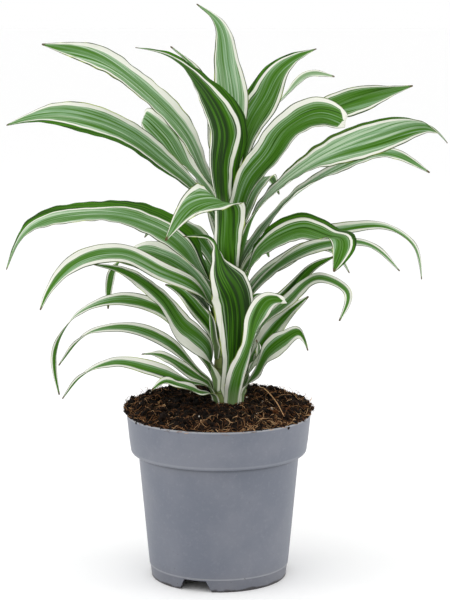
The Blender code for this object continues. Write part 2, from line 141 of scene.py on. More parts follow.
def turned(profile: list[Pair], sides: int) -> tuple[Array, Faces]:
    """Return a closed shape turned about Z.

    Args:
        profile: Radius and height pairs, which start low and end high on the axis.
        sides: The number of sides around the axis.

    Returns:
        The points and the faces.
    """
    turns = np.linspace(0, math.tau, sides, endpoint=False)
    rings = [[r * math.cos(t), r * math.sin(t), h] for r, h in profile[1:-1] for t in turns]
    verts = np.array([[0.0, 0.0, profile[0][1]], *rings, [0.0, 0.0, profile[-1][1]]])
    numbers = ringed(1, len(profile) - 2, sides)
    faces: Faces = []
    for side in range(sides):
        strip = numbers[:, side:side + 2]
        (low, low_after), (high, high_after) = strip[[0, -1]].tolist()
        faces += [[0, low_after, low], [len(verts) - 1, high, high_after], *weave(strip)]
    return verts, faces


def new_object(name: str, verts: Array, faces: Faces, material: Material, **attributes: Array) -> Piece:
    """Return a smooth-shaded mesh object made from millimetre points.

    Args:
        name: The piece's name.
        verts: The points in millimetres, as rows of three.
        faces: The faces, as rows of point numbers.
        material: The finish of the whole piece.
        attributes: Point attributes by name, a float each or three in a row.

    Returns:
        The new object, linked to the scene.
    """
    mesh = bpy.data.meshes.new(name)
    mesh.from_pydata((np.asarray(verts) * MM).tolist(), [], faces)
    mesh.update()
    for label, values in attributes.items():
        kind, key = ("FLOAT", "value") if values.ndim == 1 else ("FLOAT_VECTOR", "vector")
        layer = mesh.attributes.new(label, kind, "POINT")
        layer.data.foreach_set(key, values.astype(np.float32).ravel())
    mesh.materials.append(material)
    mesh.shade_smooth()
    return link(bpy.data.objects.new(name, mesh))


def link(piece: Piece) -> Piece:
    """Return an object once it is in the scene."""
    bpy.context.scene.collection.objects.link(piece)
    return piece


def seat(piece: Piece, slot: Slot, *nodes: str) -> Piece:
    """Tie a piece to the part's body, and hide the solids that it stands for.

    Args:
        piece: The finished piece.
        slot: The record's material slot; not used.
        nodes: The names of the solids that the piece replaces.

    Returns:
        The same piece.
    """
    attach(piece, BODY)
    if nodes:
        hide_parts(*nodes)
    return piece


@dataclass(frozen=True)
class Signal:
    """A node's output, which takes part in sums and products as a number does."""

    graph: ShaderGraph
    socket: bpy.types.NodeSocket

    def __add__(self, other: object) -> Signal:
        """Return the sum."""
        return self.graph.math("ADD", self, other)

    def __sub__(self, other: object) -> Signal:
        """Return the difference."""
        return self.graph.math("SUBTRACT", self, other)

    def __rsub__(self, other: object) -> Signal:
        """Return the difference, taken from a number."""
        return self.graph.math("SUBTRACT", other, self)

    def __mul__(self, other: object) -> Signal:
        """Return the product."""
        return self.graph.math("MULTIPLY", self, other)

    def __abs__(self) -> Signal:
        """Return the value without its sign."""
        return self.graph.math("ABSOLUTE", self)


class ShaderGraph:
    """A material under construction, with short calls for the nodes that the finishes use."""

    def __init__(self, name: str) -> None:
        """Start a material with its Principled shader.

        Args:
            name: The material's name.
        """
        self.material = bpy.data.materials.new(name)
        self.material.use_nodes = True
        self.tree = self.material.node_tree
        self.shader = self.tree.nodes["Principled BSDF"]

    def put(self, socket: bpy.types.NodeSocket, value: object) -> None:
        """Link a value into a socket, or set it there.

        Args:
            socket: The input socket.
            value: A signal, a number or a colour.
        """
        if isinstance(value, Signal):
            self.tree.links.new(value.socket, socket)
        else:
            socket.default_value = (*value, 1.0) if isinstance(value, tuple) else value

    def node(self, kind: str, inputs: dict, output: int | str = 0, **options: object) -> Signal:
        """Add a node.

        Args:
            kind: The node's type name without its first word.
            inputs: What goes into its inputs, by their numbers or names.
            output: The output to return, by its number or name.
            options: The node's own options by name.

        Returns:
            The output.
        """
        node = self.tree.nodes.new("ShaderNode" + kind)
        for key, value in options.items():
            setattr(node, key, value)
        for key, value in inputs.items():
            self.put(node.inputs[key], value)
        return Signal(self, node.outputs[output])

    def attribute(self, name: str, output: str = "Vector") -> Signal:
        """Return a point attribute as a vector, or as a single value from the output Fac."""
        return self.node("Attribute", {}, output, attribute_name=name)

    def parts(self, vector: Signal) -> list[Signal]:
        """Return the three parts of a vector."""
        split = self.node("SeparateXYZ", {0: vector}).socket.node
        return [Signal(self, socket) for socket in split.outputs]

    def vector(self, *parts: object) -> Signal:
        """Return a vector put together from three values."""
        return self.node("CombineXYZ", dict(enumerate(parts)))

    def place(self) -> Signal:
        """Return the point's place on the piece, in metres."""
        return self.node("TexCoord", {}, "Object")

    def math(self, operation: str, first: object, second: object = 0.0, clamp: bool = False) -> Signal:
        """Return the result of a Math node, kept within 0 to 1 if it is to be clamped."""
        return self.node("Math", {0: first, 1: second}, operation=operation, use_clamp=clamp)

    def ease(self, value: object, low: object, high: object) -> Signal:
        """Return 0 below low and 1 above high, with a smooth change between them."""
        inputs = {"Value": value, "From Min": low, "From Max": high}
        return self.node("MapRange", inputs, "Result", interpolation_type="SMOOTHSTEP")

    def noise(self, vector: Signal, scale: float, detail: float = 3.0, roughness: float = 0.55) -> Signal:
        """Return a noise of about 0.3 to 0.7, with its lumps in a unit, finer layers and their strength."""
        inputs = {"Vector": vector, "Scale": scale, "Detail": detail, "Roughness": roughness}
        return self.node("TexNoise", inputs, "Fac")

    def mix(self, share: object, first: object, second: object) -> Signal:
        """Return a colour between two colours, the first one at a share of 0."""
        return self.node("Mix", {0: share, 6: first, 7: second}, 2, data_type="RGBA")

    def ramp(self, share: object, stops: list[tuple[float, Colour]]) -> Signal:
        """Return a colour from a row of stops.

        Args:
            share: The place along the row, from 0 to 1.
            stops: The places and their colours.

        Returns:
            The colour there.
        """
        picked = self.node("ValToRGB", {0: share})
        elements = picked.socket.node.color_ramp.elements
        while len(elements) < len(stops):
            elements.new(0.5)
        for element, (place, colour) in zip(elements, stops):
            element.position = place
            element.color = (*colour, 1.0)
        return picked

    def bump(self, height: Signal, depth_mm: float, strength: float) -> None:
        """Give the shader a relief, as deep and as strong as told."""
        relief = self.node("Bump", {"Distance": depth_mm * MM, "Strength": strength, "Height": height})
        self.put(self.shader.inputs["Normal"], relief)

    def dress(self, **values: object) -> Material:
        """Set the shader's sockets.

        Args:
            values: What goes into the sockets, named with _ for each space.

        Returns:
            The material.
        """
        names = {socket.name.lower().replace(" ", "_"): socket for socket in self.shader.inputs}
        for key, value in values.items():
            self.put(names[key], value)
        return self.material


@dataclass(frozen=True)
class BladeFinish:
    """The striped leaf: dark rims, white bands, a milky green middle with lengthwise streaks and painted
    shade underneath.
    """

    vivid: Colour = tone(60, 112, 8)
    deep: Colour = tone(30, 56, 14)
    rim: Colour = tone(50, 70, 22)
    leaf_green: Colour = tone(84, 124, 58)
    milky: Colour = tone(130, 166, 126)
    frost: Colour = tone(176, 197, 166)
    white: Colour = tone(228, 229, 217)
    cream: Colour = tone(186, 196, 160)
    yellow: Colour = tone(168, 184, 92)
    brown: Colour = tone(88, 76, 48)
    foot: Colour = tone(170, 184, 140)
    edge_softness: float = 0.018
    # painted shade: how much darker the undersides are drawn, standing in for the shade they lie in under
    # light from above
    underside_painted_shade: float = 0.36
    fine_pace: float = 1.1
    hair_pace: float = 4.5
    broad_pace: float = 0.36
    streak_stretch: float = 0.012
    streak_level: float = 1.97
    drift_pace: float = 0.03
    core_mm: Pair = (2.2, 0.6)
    pale_line: Pair = (0.09, 0.045)
    foot_mm: Pair = (16.0, -2.0)

    def make(self) -> Material:
        """Make the leaf's finish, which reads its stripes from the blade's attributes.

        Returns:
            The material.
        """
        g = ShaderGraph("striped_leaf")
        across_mm, along_mm, seed = g.parts(g.attribute("reach"))
        edge, white, milk = g.parts(g.attribute("bands"))
        lower, tip_mm, core_mm = g.parts(g.attribute("facing"))
        inward = 1.0 - abs(g.attribute("across", "Fac"))

        side = g.vector(along_mm * self.drift_pace, g.math("SIGN", across_mm), seed)
        swing = g.noise(side, 1.0, 2.0) * 1.1 + 0.45
        edge_wide = edge * swing
        white_end = edge_wide + white * swing
        soft = self.edge_softness
        on_edge = g.ease(inward, edge_wide + soft, edge_wide - soft)
        on_white = g.ease(inward, white_end + soft, white_end - soft)

        fine = self.streaks(g, self.fine_pace, 0.0)
        hair = self.streaks(g, self.hair_pace, 3.0)
        broad = self.streaks(g, self.broad_pace, 7.0)
        streaks = broad * 1.5 + fine * 1.9 + hair * 0.9 - self.streak_level
        # the underside is drawn darker here, as painted shade
        share = g.math("SUBTRACT", streaks + milk, lower * self.underside_painted_shade, clamp=True)
        middle = g.ramp(share, [(0.0, self.deep), (0.25, self.vivid), (0.52, self.leaf_green),
                                (0.85, self.milky), (1.0, self.frost)])
        middle = g.mix(g.ease(abs(core_mm), *self.core_mm) * 0.55, middle, self.vivid)
        beside, wide = self.pale_line
        pale_line = g.ease(abs(inward - (white_end + beside)), wide, 0.0)
        middle = g.mix(pale_line * 0.45, middle, self.frost)

        streaked_white = g.mix(g.ease(fine, 0.6, 0.75), self.white, self.cream)
        colour = g.mix(on_white, middle, streaked_white)
        thin_rim = g.mix(g.ease(fine, 0.5, 0.66), self.rim, self.yellow)
        strip = g.mix(g.ease(fine, 0.42, 0.62), self.vivid, self.deep)
        colour = g.mix(on_edge, colour, g.mix(g.ease(edge, 0.1, 0.2), thin_rim, strip))
        colour = g.mix(g.ease(along_mm, *self.foot_mm) * 0.3, colour, self.foot)
        colour = g.mix(g.ease(tip_mm - fine * 4.0, 1.2, -1.2), colour, self.brown)

        pores = g.noise(g.attribute("reach"), 0.9, 4.0)
        g.bump(fine + pores * 0.3, 0.12, 0.5)
        return g.dress(base_color=colour, roughness=fine * 0.2 + 0.4, specular_ior_level=0.12)

    def streaks(self, g: ShaderGraph, pace: float, shift: float) -> Signal:
        """Return a noise that is drawn out along the blade.

        Args:
            g: The leaf's graph.
            pace: How many streaks there are in a millimetre across.
            shift: What sets this noise apart from the others.

        Returns:
            The noise's value.
        """
        across_mm, along_mm, seed = g.parts(g.attribute("reach"))
        place = g.vector(across_mm * pace, along_mm * self.streak_stretch, seed + shift)
        return g.noise(place, 1.0, 3.0, 0.6)


@dataclass(frozen=True)
class SheathFinish:
    """The cane: pale green where it is young, and straw-coloured with darker scars lower down."""

    green: Colour = tone(122, 154, 84)
    straw: Colour = tone(150, 144, 92)
    scar: Colour = tone(92, 78, 48)
    young_m: Pair = (0.2, 0.12)
    ring_m: float = 0.008

    def make(self) -> Material:
        """Make the cane's finish, ringed where old leaves grew.

        Returns:
            The material.
        """
        g = ShaderGraph("sheathed_cane")
        place = g.place()
        x, y, z = g.parts(place)
        grain = g.noise(g.vector(x * 3.0, y * 3.0, z), 260.0, 4.0)
        old = g.ease(z, *self.young_m)
        patches = g.ease(g.noise(place, 60.0, 2.0), 0.42, 0.62)
        colour = g.mix(patches * old, self.green, self.straw)
        ring = g.ease(g.math("SINE", z * (math.tau / self.ring_m)), 0.86, 1.0)
        colour = g.mix(ring * old * 0.7, colour, self.scar)
        colour = g.mix(grain * old * 0.3, colour, self.scar)
        g.bump(grain + ring, 0.25, 0.6)
        return g.dress(base_color=colour, roughness=0.6)


@dataclass(frozen=True)
class PlasticFinish:
    """Matt satin moulded plastic, blue grey, lightly scuffed and dusted, with painted highlights and painted
    shade.

    Each line runs level round the pot, with the heights in metres where it starts, is full and ends, its
    strength and its colour: painted highlights on the lip, on the band's lower rounding and on the step at
    the foot, and a painted shadow under the band.
    """

    body: Colour = tone(100, 105, 117)
    worn: Colour = tone(136, 137, 144)
    # pale: the colour of the scuffs, and also of the painted highlight lines
    pale: Colour = tone(168, 169, 172)
    dust: Colour = tone(112, 98, 84)
    # the colour of specks and caked dirt, and also of the painted shade inside the foot
    speck_and_painted_shade: Colour = tone(34, 26, 20)
    # painted shadow under the overhanging rim band
    band_painted_shadow: Colour = tone(44, 46, 52)
    lines: tuple[tuple[float, float, float, float, Colour], ...] = (
        # the first three rows are painted highlights, the last one a painted shadow
        (0.1066, 0.1075, 1.0, 0.6, pale),
        (0.0828, 0.0842, 0.0852, 0.16, pale),
        (0.0079, 0.0083, 0.0092, 0.35, pale),
        (0.0796, 0.0818, 0.0824, 0.6, band_painted_shadow),
    )
    low_m: float = 0.018
    caked_m: float = 0.0012
    # painted shade inside the foot: the radii and heights in metres where it starts and where it is full
    recess_shade_radii_m: Pair = (0.0425, 0.0418)
    recess_shade_heights_m: Pair = (0.0095, 0.0085)

    def make(self) -> Material:
        """Make the pot's finish.

        Returns:
            The material.
        """
        g = ShaderGraph("pot_satin_plastic")
        place = g.place()
        x, y, z = g.parts(place)
        cloud = g.noise(place, 22.0, 4.0)
        grain = g.noise(place, 420.0, 3.0, 0.7)
        scuff = g.noise(g.vector(x, y, z * 7.0), 130.0, 5.0, 0.7)
        colour = g.mix(g.ease(cloud, 0.4, 0.7) * 0.3, self.body, self.worn)
        colour = g.mix(g.ease(grain, 0.5, 0.75) * 0.22, colour, self.worn)
        colour = g.mix(g.ease(scuff, 0.64, 0.78) * 0.4, colour, self.pale)
        # painted highlight and painted shadow lines, level round the pot
        for start, full, end, share, shade in self.lines:
            line = g.ease(z, start, full) * g.ease(z, end, end - (full - start) / 2)
            colour = g.mix(line * share, colour, shade)
        low = g.ease(z, self.low_m, 0.0)
        flecks = g.ease(g.noise(place, 700.0, 2.0), 0.66, 0.72)
        sparse = g.ease(g.noise(place, 90.0, 2.0), 0.52, 0.66)
        colour = g.mix(flecks * (low * 0.8 + 0.2) * sparse, colour, self.speck_and_painted_shade)
        colour = g.mix(low * 0.12, colour, self.dust)
        caked = z - g.noise(place, 160.0, 3.0) * 0.004
        colour = g.mix(g.ease(caked, 0.0, -self.caked_m) * 0.8, colour, self.speck_and_painted_shade)
        # painted shade inside the foot, under the pot's floor
        middle = g.math("SQRT", x * x + y * y)
        inside = g.ease(middle, *self.recess_shade_radii_m) * g.ease(z, *self.recess_shade_heights_m)
        colour = g.mix(inside * 0.9, colour, self.speck_and_painted_shade)
        g.bump(g.noise(place, 900.0, 3.0), 0.05, 0.35)
        return g.dress(base_color=colour, roughness=cloud * 0.16 + 0.38, specular_ior_level=0.5)


@dataclass(frozen=True)
class PeatFinish:
    """Damp peat: nearly black lumps with red-brown and straw-coloured bits among them."""

    name: str = "peat"
    dark: Colour = tone(13, 9, 6)
    brown: Colour = tone(38, 25, 17)
    rust: Colour = tone(106, 64, 36)

    def make(self) -> Material:
        """Make the peat's finish, which reads each lump's own shade.

        Returns:
            The material.
        """
        g = ShaderGraph(self.name)
        place = g.place()
        mottle = (g.noise(place, 420.0, 4.0, 0.65) - 0.5) * 0.9
        share = g.math("ADD", g.attribute("shade", "Fac") * 0.75, mottle, clamp=True)
        colour = g.ramp(share, [(0.0, self.dark), (0.55, self.brown), (0.875, self.rust)])
        g.bump(g.noise(place, 1500.0, 4.0, 0.7), 0.3, 0.9)
        return g.dress(base_color=colour, roughness=0.92, specular_ior_level=0.15)


@dataclass(frozen=True)
class PerliteFinish:
    """White foamed grains."""

    pale: Colour = tone(226, 222, 212)
    shaded: Colour = tone(176, 164, 146)

    def make(self) -> Material:
        """Make the grains' finish.

        Returns:
            The material.
        """
        g = ShaderGraph("perlite")
        pits = g.noise(g.place(), 1600.0, 3.0)
        g.bump(pits, 0.3, 0.8)
        return g.dress(base_color=g.mix(g.ease(pits, 0.4, 0.6), self.shaded, self.pale), roughness=0.85)


@dataclass(frozen=True)
class FloorFinish:
    """A plain pale studio floor."""

    pale: Colour = (0.995, 0.995, 0.995)
    faint: Colour = (0.975, 0.975, 0.975)

    def make(self) -> Material:
        """Make the floor's finish.

        Returns:
            The material.
        """
        g = ShaderGraph("studio_floor")
        colour = g.mix(g.noise(g.place(), 6.0, 2.0) * 0.03, self.pale, self.faint)
        return g.dress(base_color=colour, roughness=0.8, specular_ior_level=0.1)


@dataclass
class Cane:
    """The upright cane, ringed by leaf scars."""

    x: float = 6.0
    foot: float = 74.0
    top: float = 265.0
    foot_radius: float = 11.5
    top_radius: float = 4.2
    sides: int = 48
    row_step: float = 1.0
    ring_step: float = 6.0
    ring_rise: float = 0.16
    ring_sharpness: int = 6
    tip: tuple[Pair, ...] = ((0.8, 1.0), (0.45, 0.2), (0.0, 0.0))

    def radius(self, height: Array | float) -> Array | float:
        """Return the cane's radius at a height."""
        share = (height - self.foot) / (self.top - self.foot)
        return self.foot_radius + (self.top_radius - self.foot_radius) * share

    def build(self) -> Piece:
        """Turn the cane, with a ring at each leaf scar.

        Returns:
            The piece.
        """
        heights = np.arange(self.foot, self.top, self.row_step)
        wave = np.abs(np.sin(np.pi * (heights - self.foot) / self.ring_step)) ** self.ring_sharpness
        profile = [(0.0, self.foot), *zip(self.radius(heights) - self.ring_rise * wave, heights)]
        profile += [(self.top_radius * share, self.top - below) for share, below in self.tip]
        verts, faces = turned(profile, self.sides)
        verts[:, 0] += self.x
        return seat(new_object("cane_bark", verts, faces, SheathFinish().make()), Slot.CANE, "stem")


@dataclass(frozen=True)
class Stripes:
    """Shares of a blade's half width that its stripes take, and how milky its middle is.

    The lean makes the high side milkier and the low side greener, and the fading makes the tip's end
    milkier. The core is the dark line's place, as a share of the half width, and falls at random where it
    is None. A dry tip is brown, the others white.
    """

    low_edge: float = 0.06
    low_white: float = 0.18
    high_white: float = 0.18
    high_edge: float = 0.06
    milk: float = 0.4
    lean: float = 0.0
    core: float | None = None
    fading: float = 0.0
    dry: bool = True


@dataclass(frozen=True)
class Leaf:
    """One strap leaf: its root height on the cane, the midrib's further points, its blade and its stripes.

    The roll turns the blade about its midrib, to the first angle by the share roll_by of the length and to
    the second at the tip. The blade is broadest at the share widest and narrows from there to the tip.
    """

    name: str
    root: float
    path: tuple[Point, ...]
    width: float
    roll: Pair = (0.0, 0.0)
    roll_by: float = 0.5
    widest: float = 0.45
    taper: float = 1.6
    tip: float = 0.5
    channel: float = 0.16
    wave: float = 1.0
    waves: float = 2.5
    stripes: Stripes = Stripes()


LEAVES = (
    Leaf("spear", 258, ((8, 3, 291), (8, 5, 311), (5, 9, 333), (0, 13, 358), (-14, 18, 371)), 22, (26, 80),
         roll_by=0.23, taper=1.4, stripes=Stripes(0.07, 0.1, 0.2, 0.05, 0.6)),
    Leaf("crown_left", 245, ((-9, 7, 263), (-20, 13, 286), (-45, 20, 313), (-77, 26, 336), (-115, 33, 345)),
         26, (-15, -98), roll_by=0.63, widest=0.51, taper=1.5,
         stripes=Stripes(0.1, 0.12, 0.32, 0.05, 0.6, lean=0.2)),
    Leaf("crown_front", 238,
         ((3, -15, 268), (5, -28, 294), (-8, -39, 320), (-31, -46, 340), (-50, -53, 345)), 27, (-9, -50),
         roll_by=0.35, widest=0.48, taper=1.3, stripes=Stripes(0.36, 0.2, 0.08, 0.04, 0.22)),
    Leaf("crown_sliver", 253, ((-3, 11, 279), (-6, 16, 305), (-11, 19, 323), (-31, 22, 344)), 8,
         stripes=Stripes(0.1, 0.35, 0.35, 0.1, 0.5)),
    Leaf("crown_right", 249, ((14, 9, 280), (21, 18, 298), (29, 24, 311), (37, 30, 326), (64, 45, 342)), 23,
         (41, 1), roll_by=0.58, widest=0.52, taper=1.45, stripes=Stripes(0.22, 0.16, 0.14, 0.05, 0.18)),
    Leaf("crown_back", 241, ((21, 34, 285), (45, 60, 311), (59, 75, 323), (79, 95, 322)), 13, (-45, 47),
         roll_by=0.57, widest=0.48, taper=1.8, stripes=Stripes(0.05, 0.24, 0.3, 0.05, 0.95)),
    Leaf("upper_right", 235, ((29, 10, 268), (45, 15, 287), (64, 22, 299), (93, 28, 310), (127, 37, 318)),
         26, (2, 121), roll_by=0.46, widest=0.5, taper=1.65, stripes=Stripes(0.05, 0.13, 0.14, 0.08, 0.25)),
    Leaf("front_right", 230,
         ((19, -18, 262), (31, -28, 278), (42, -40, 295), (61, -50, 305), (77, -63, 301)), 23, (-16, -68),
         roll_by=0.67, widest=0.51, taper=5.0, tip=4.0,
         stripes=Stripes(0.04, 0.1, 0.26, 0.04, 0.56, lean=0.12, dry=False)),
    Leaf("wide_right", 206,
         ((23, -5, 238), (54, -15, 268), (95, -30, 288), (129, -48, 297), (138, -65, 288)), 31, (23, 144),
         roll_by=0.42, widest=0.28, taper=2.1, wave=1.4,
         stripes=Stripes(0.16, 0.15, 0.14, 0.06, 0.6, lean=-0.2)),
    Leaf("long_right", 200, ((30, 8, 229), (46, 12, 246), (75, 18, 264), (109, 24, 275), (138, 28, 262)), 20,
         (-9, 61), roll_by=0.44, widest=0.43, taper=1.4, stripes=Stripes(0.08, 0.24, 0.24, 0.08, 0.6)),
    Leaf("long_left", 226,
         ((-18, 13, 255), (-34, 21, 268), (-63, 31, 288), (-104, 42, 299), (-142, 60, 291)), 22, (-50, -43),
         roll_by=0.76, widest=0.65, taper=1.25, stripes=Stripes(0.32, 0.12, 0.22, 0.05, 0.52)),
    Leaf("behind_left", 220,
         ((-10, 32, 253), (-24, 48, 267), (-35, 61, 283), (-49, 72, 296), (-51, 79, 296)), 22, (34, -68),
         roll_by=0.39, widest=0.47, taper=4.0, tip=3.0,
         stripes=Stripes(0.05, 0.12, 0.34, 0.05, 0.5, dry=False)),
    Leaf("folded_front", 190,
         ((5, -28, 221), (5, -44, 247), (0, -62, 253), (-17, -83, 251), (-31, -99, 233)), 26, (-23, -77),
         roll_by=0.45, widest=0.69, taper=0.8, channel=0.3, stripes=Stripes(0.05, 0.2, 0.2, 0.05, 0.36)),
    Leaf("middle_left", 182,
         ((-12, -4, 203), (-22, -5, 219), (-50, 4, 234), (-85, 15, 237), (-124, 25, 226), (-141, 35, 197)),
         27, (-50, -72), roll_by=0.25, widest=0.28,
         stripes=Stripes(0.05, 0.08, 0.1, 0.5, 0.36, fading=0.25)),
    Leaf("left_hook", 166,
         ((-12, -16, 190), (-38, -31, 206), (-61, -43, 218), (-87, -55, 214), (-105, -62, 195),
          (-109, -65, 186)), 13, (-94, -34), roll_by=0.3, widest=0.63, taper=2.3,
         stripes=Stripes(0.08, 0.3, 0.4, 0.06, 0.4)),
    Leaf("left_hanging", 168,
         ((-16, 22, 195), (-36, 40, 206), (-53, 52, 208), (-68, 62, 198), (-76, 70, 165)), 17, (-40, 30),
         stripes=Stripes(0.06, 0.16, 0.5, 0.04, 0.5)),
    Leaf("left_inner", 152,
         ((-6, -6, 175), (-21, -14, 194), (-34, -20, 202), (-46, -24, 206), (-63, -28, 211)), 17, (-40, -40),
         stripes=Stripes(0.06, 0.16, 0.26, 0.3, 0.16)),
    Leaf("left_shaded", 144, ((-4, 14, 160), (-14, 24, 172), (-25, 36, 182), (-36, 48, 185)), 11, (-40, -40),
         stripes=Stripes(0.08, 0.26, 0.26, 0.08, 0.12)),
    Leaf("right_arch", 180,
         ((26, -16, 216), (38, -24, 226), (53, -31, 232), (68, -38, 228), (76, -47, 227), (71, -54, 208)),
         27, (50, 16), roll_by=0.34, widest=0.54, taper=2.4, stripes=Stripes(0.3, 0.2, 0.08, 0.06, 0.35)),
    Leaf("right_far_hook", 190,
         ((27, 14, 213), (47, 20, 221), (73, 26, 224), (113, 32, 225), (129, 36, 213), (135, 38, 190)), 9,
         (35, 35), stripes=Stripes(0.1, 0.38, 0.32, 0.08, 0.3, fading=0.45)),
    Leaf("right_hook", 172, ((30, 4, 196), (43, 6, 206), (69, 10, 217), (98, 12, 216), (118, 14, 199)), 11,
         (40, 40), stripes=Stripes(0.1, 0.36, 0.36, 0.1, 0.45)),
    Leaf("right_small_hook", 168,
         ((28, 18, 195), (43, 24, 204), (60, 30, 213), (77, 36, 208), (87, 40, 194)), 10, (40, 40),
         stripes=Stripes(0.1, 0.38, 0.38, 0.1, 0.25, fading=0.4)),
    Leaf("right_vivid", 145, ((28, 12, 168), (42, 16, 179), (63, 22, 201), (76, 26, 207)), 12, (40, 40),
         stripes=Stripes(0.1, 0.12, 0.12, 0.1, 0.08)),
    Leaf("right_low_arch", 132,
         ((29, -9, 168), (43, -16, 182), (65, -26, 200), (81, -30, 191), (76, -34, 174)), 13, (40, 40),
         stripes=Stripes(0.06, 0.38, 0.46, 0.08, 0.42)),
    Leaf("right_low", 126, ((28, 12, 150), (40, 16, 165), (59, 22, 181)), 14, (40, 40),
         stripes=Stripes(0.06, 0.48, 0.52, 0.06, 0.3)),
    Leaf("left_big_low", 131,
         ((-8, -10, 150), (-25, -20, 168), (-36, -27, 186), (-58, -36, 204), (-77, -49, 212)), 19,
         (-75, -40), roll_by=0.2, widest=0.3, taper=2.0,
         stripes=Stripes(0.04, 0.55, 0.2, 0.05, 0.2, core=0.35)),
    Leaf("left_twisted", 127.5,
         ((-15, 16, 147), (-38, 28, 171), (-66, 34, 177), (-96, 40, 165), (-110, 44, 141), (-108, 46, 110)),
         10, (-45, 75), roll_by=0.42, stripes=Stripes(0.08, 0.32, 0.42, 0.08, 0.1, fading=0.6)),
    Leaf("left_low_long", 124, ((-13, 2, 134), (-30, 4, 151), (-58, 4, 163), (-84, 2, 160), (-104, 0, 139)),
         9, (-60, 50), roll_by=0.45, stripes=Stripes(0.08, 0.34, 0.42, 0.08, 0.04, fading=0.7)),
    Leaf("left_lowest", 120.5,
         ((-20, -10, 130), (-44, -20, 141), (-67, -26, 146), (-88, -30, 137), (-99, -34, 124)), 10,
         (-65, 45), roll_by=0.45, stripes=Stripes(0.08, 0.3, 0.5, 0.08, 0.06, fading=0.6)),
    Leaf("left_low_back", 117, ((-19, 20, 130), (-39, 36, 139), (-52, 46, 138)), 9, (-30, -30),
         stripes=Stripes(0.08, 0.34, 0.42, 0.08, 0.15)),
    Leaf("left_foot", 117, ((-13, -16, 125), (-24, -26, 131), (-34, -33, 135), (-42, -41, 131)), 10,
         (-35, -30), stripes=Stripes(0.08, 0.28, 0.45, 0.08, 0.15)),
    Leaf("front_centre", 124.5,
         ((12, -20, 154), (10, -30, 189), (2, -41, 207), (-3, -48, 227), (-21, -65, 231)), 30, (11, 111),
         roll_by=0.46, widest=0.54, taper=0.8, channel=0.3,
         stripes=Stripes(0.04, 0.14, 0.24, 0.06, 0.18, lean=0.12)),
    Leaf("front_low", 117, ((12, -22, 138), (19, -30, 157), (24, -39, 177), (31, -47, 189), (41, -59, 191)),
         18, (41, -39), roll_by=0.45, widest=0.32, taper=2.9, tip=2.5,
         stripes=Stripes(0.05, 0.26, 0.36, 0.04, 0.66, core=0.05, dry=False)),
    Leaf("front_right_low", 121,
         ((24, -7, 134), (32, -15, 150), (42, -24, 160), (51, -31, 166), (56, -39, 156)), 15.8, (48, 75),
         roll_by=0.32, widest=0.57, taper=1.1, stripes=Stripes(0.05, 0.3, 0.42, 0.05, 0.25)),
    Leaf("foot_short", 117, ((17, 8, 126), (21, 13, 135)), 8, stripes=Stripes(0.08, 0.3, 0.3, 0.08, 0.3)),
    Leaf("foot_upright", 128, ((22, -2, 141), (26, -8, 152), (24, -13, 158)), 9,
         stripes=Stripes(0.05, 0.5, 0.4, 0.05, 0.5)),
)

# Small young leaves that close over the cane's tip, too fine to be solids of their own
YOUNG_LEAVES = (
    Leaf("young_left", 260, ((3, -4, 273), (1, -7, 284), (-2, -9, 295)), 8, stripes=Stripes(milk=0.7)),
    Leaf("young_right", 262, ((10, -3, 275), (11, -4, 285), (12, -6, 294)), 7, stripes=Stripes(milk=0.8)),
    Leaf("young_back", 261, ((4, 3, 274), (2, 5, 285), (0, 8, 298)), 7, stripes=Stripes(milk=0.7)),
)

# Leaves at the back, which the front ones hide: their azimuths from +X, root heights, spans and rises
BACK_LEAVES = (
    (88, 121.5, 70, 34),
    (98, 132, 84, 40),
    (60, 140, 84, 46),
    (84, 149, 92, 46),
    (106, 160, 98, 46),
    (72, 176.5, 92, 44),
    (128, 194, 92, 42),
    (98, 204, 98, 46),
    (68, 216, 94, 48),
    (80, 231, 84, 62),
)


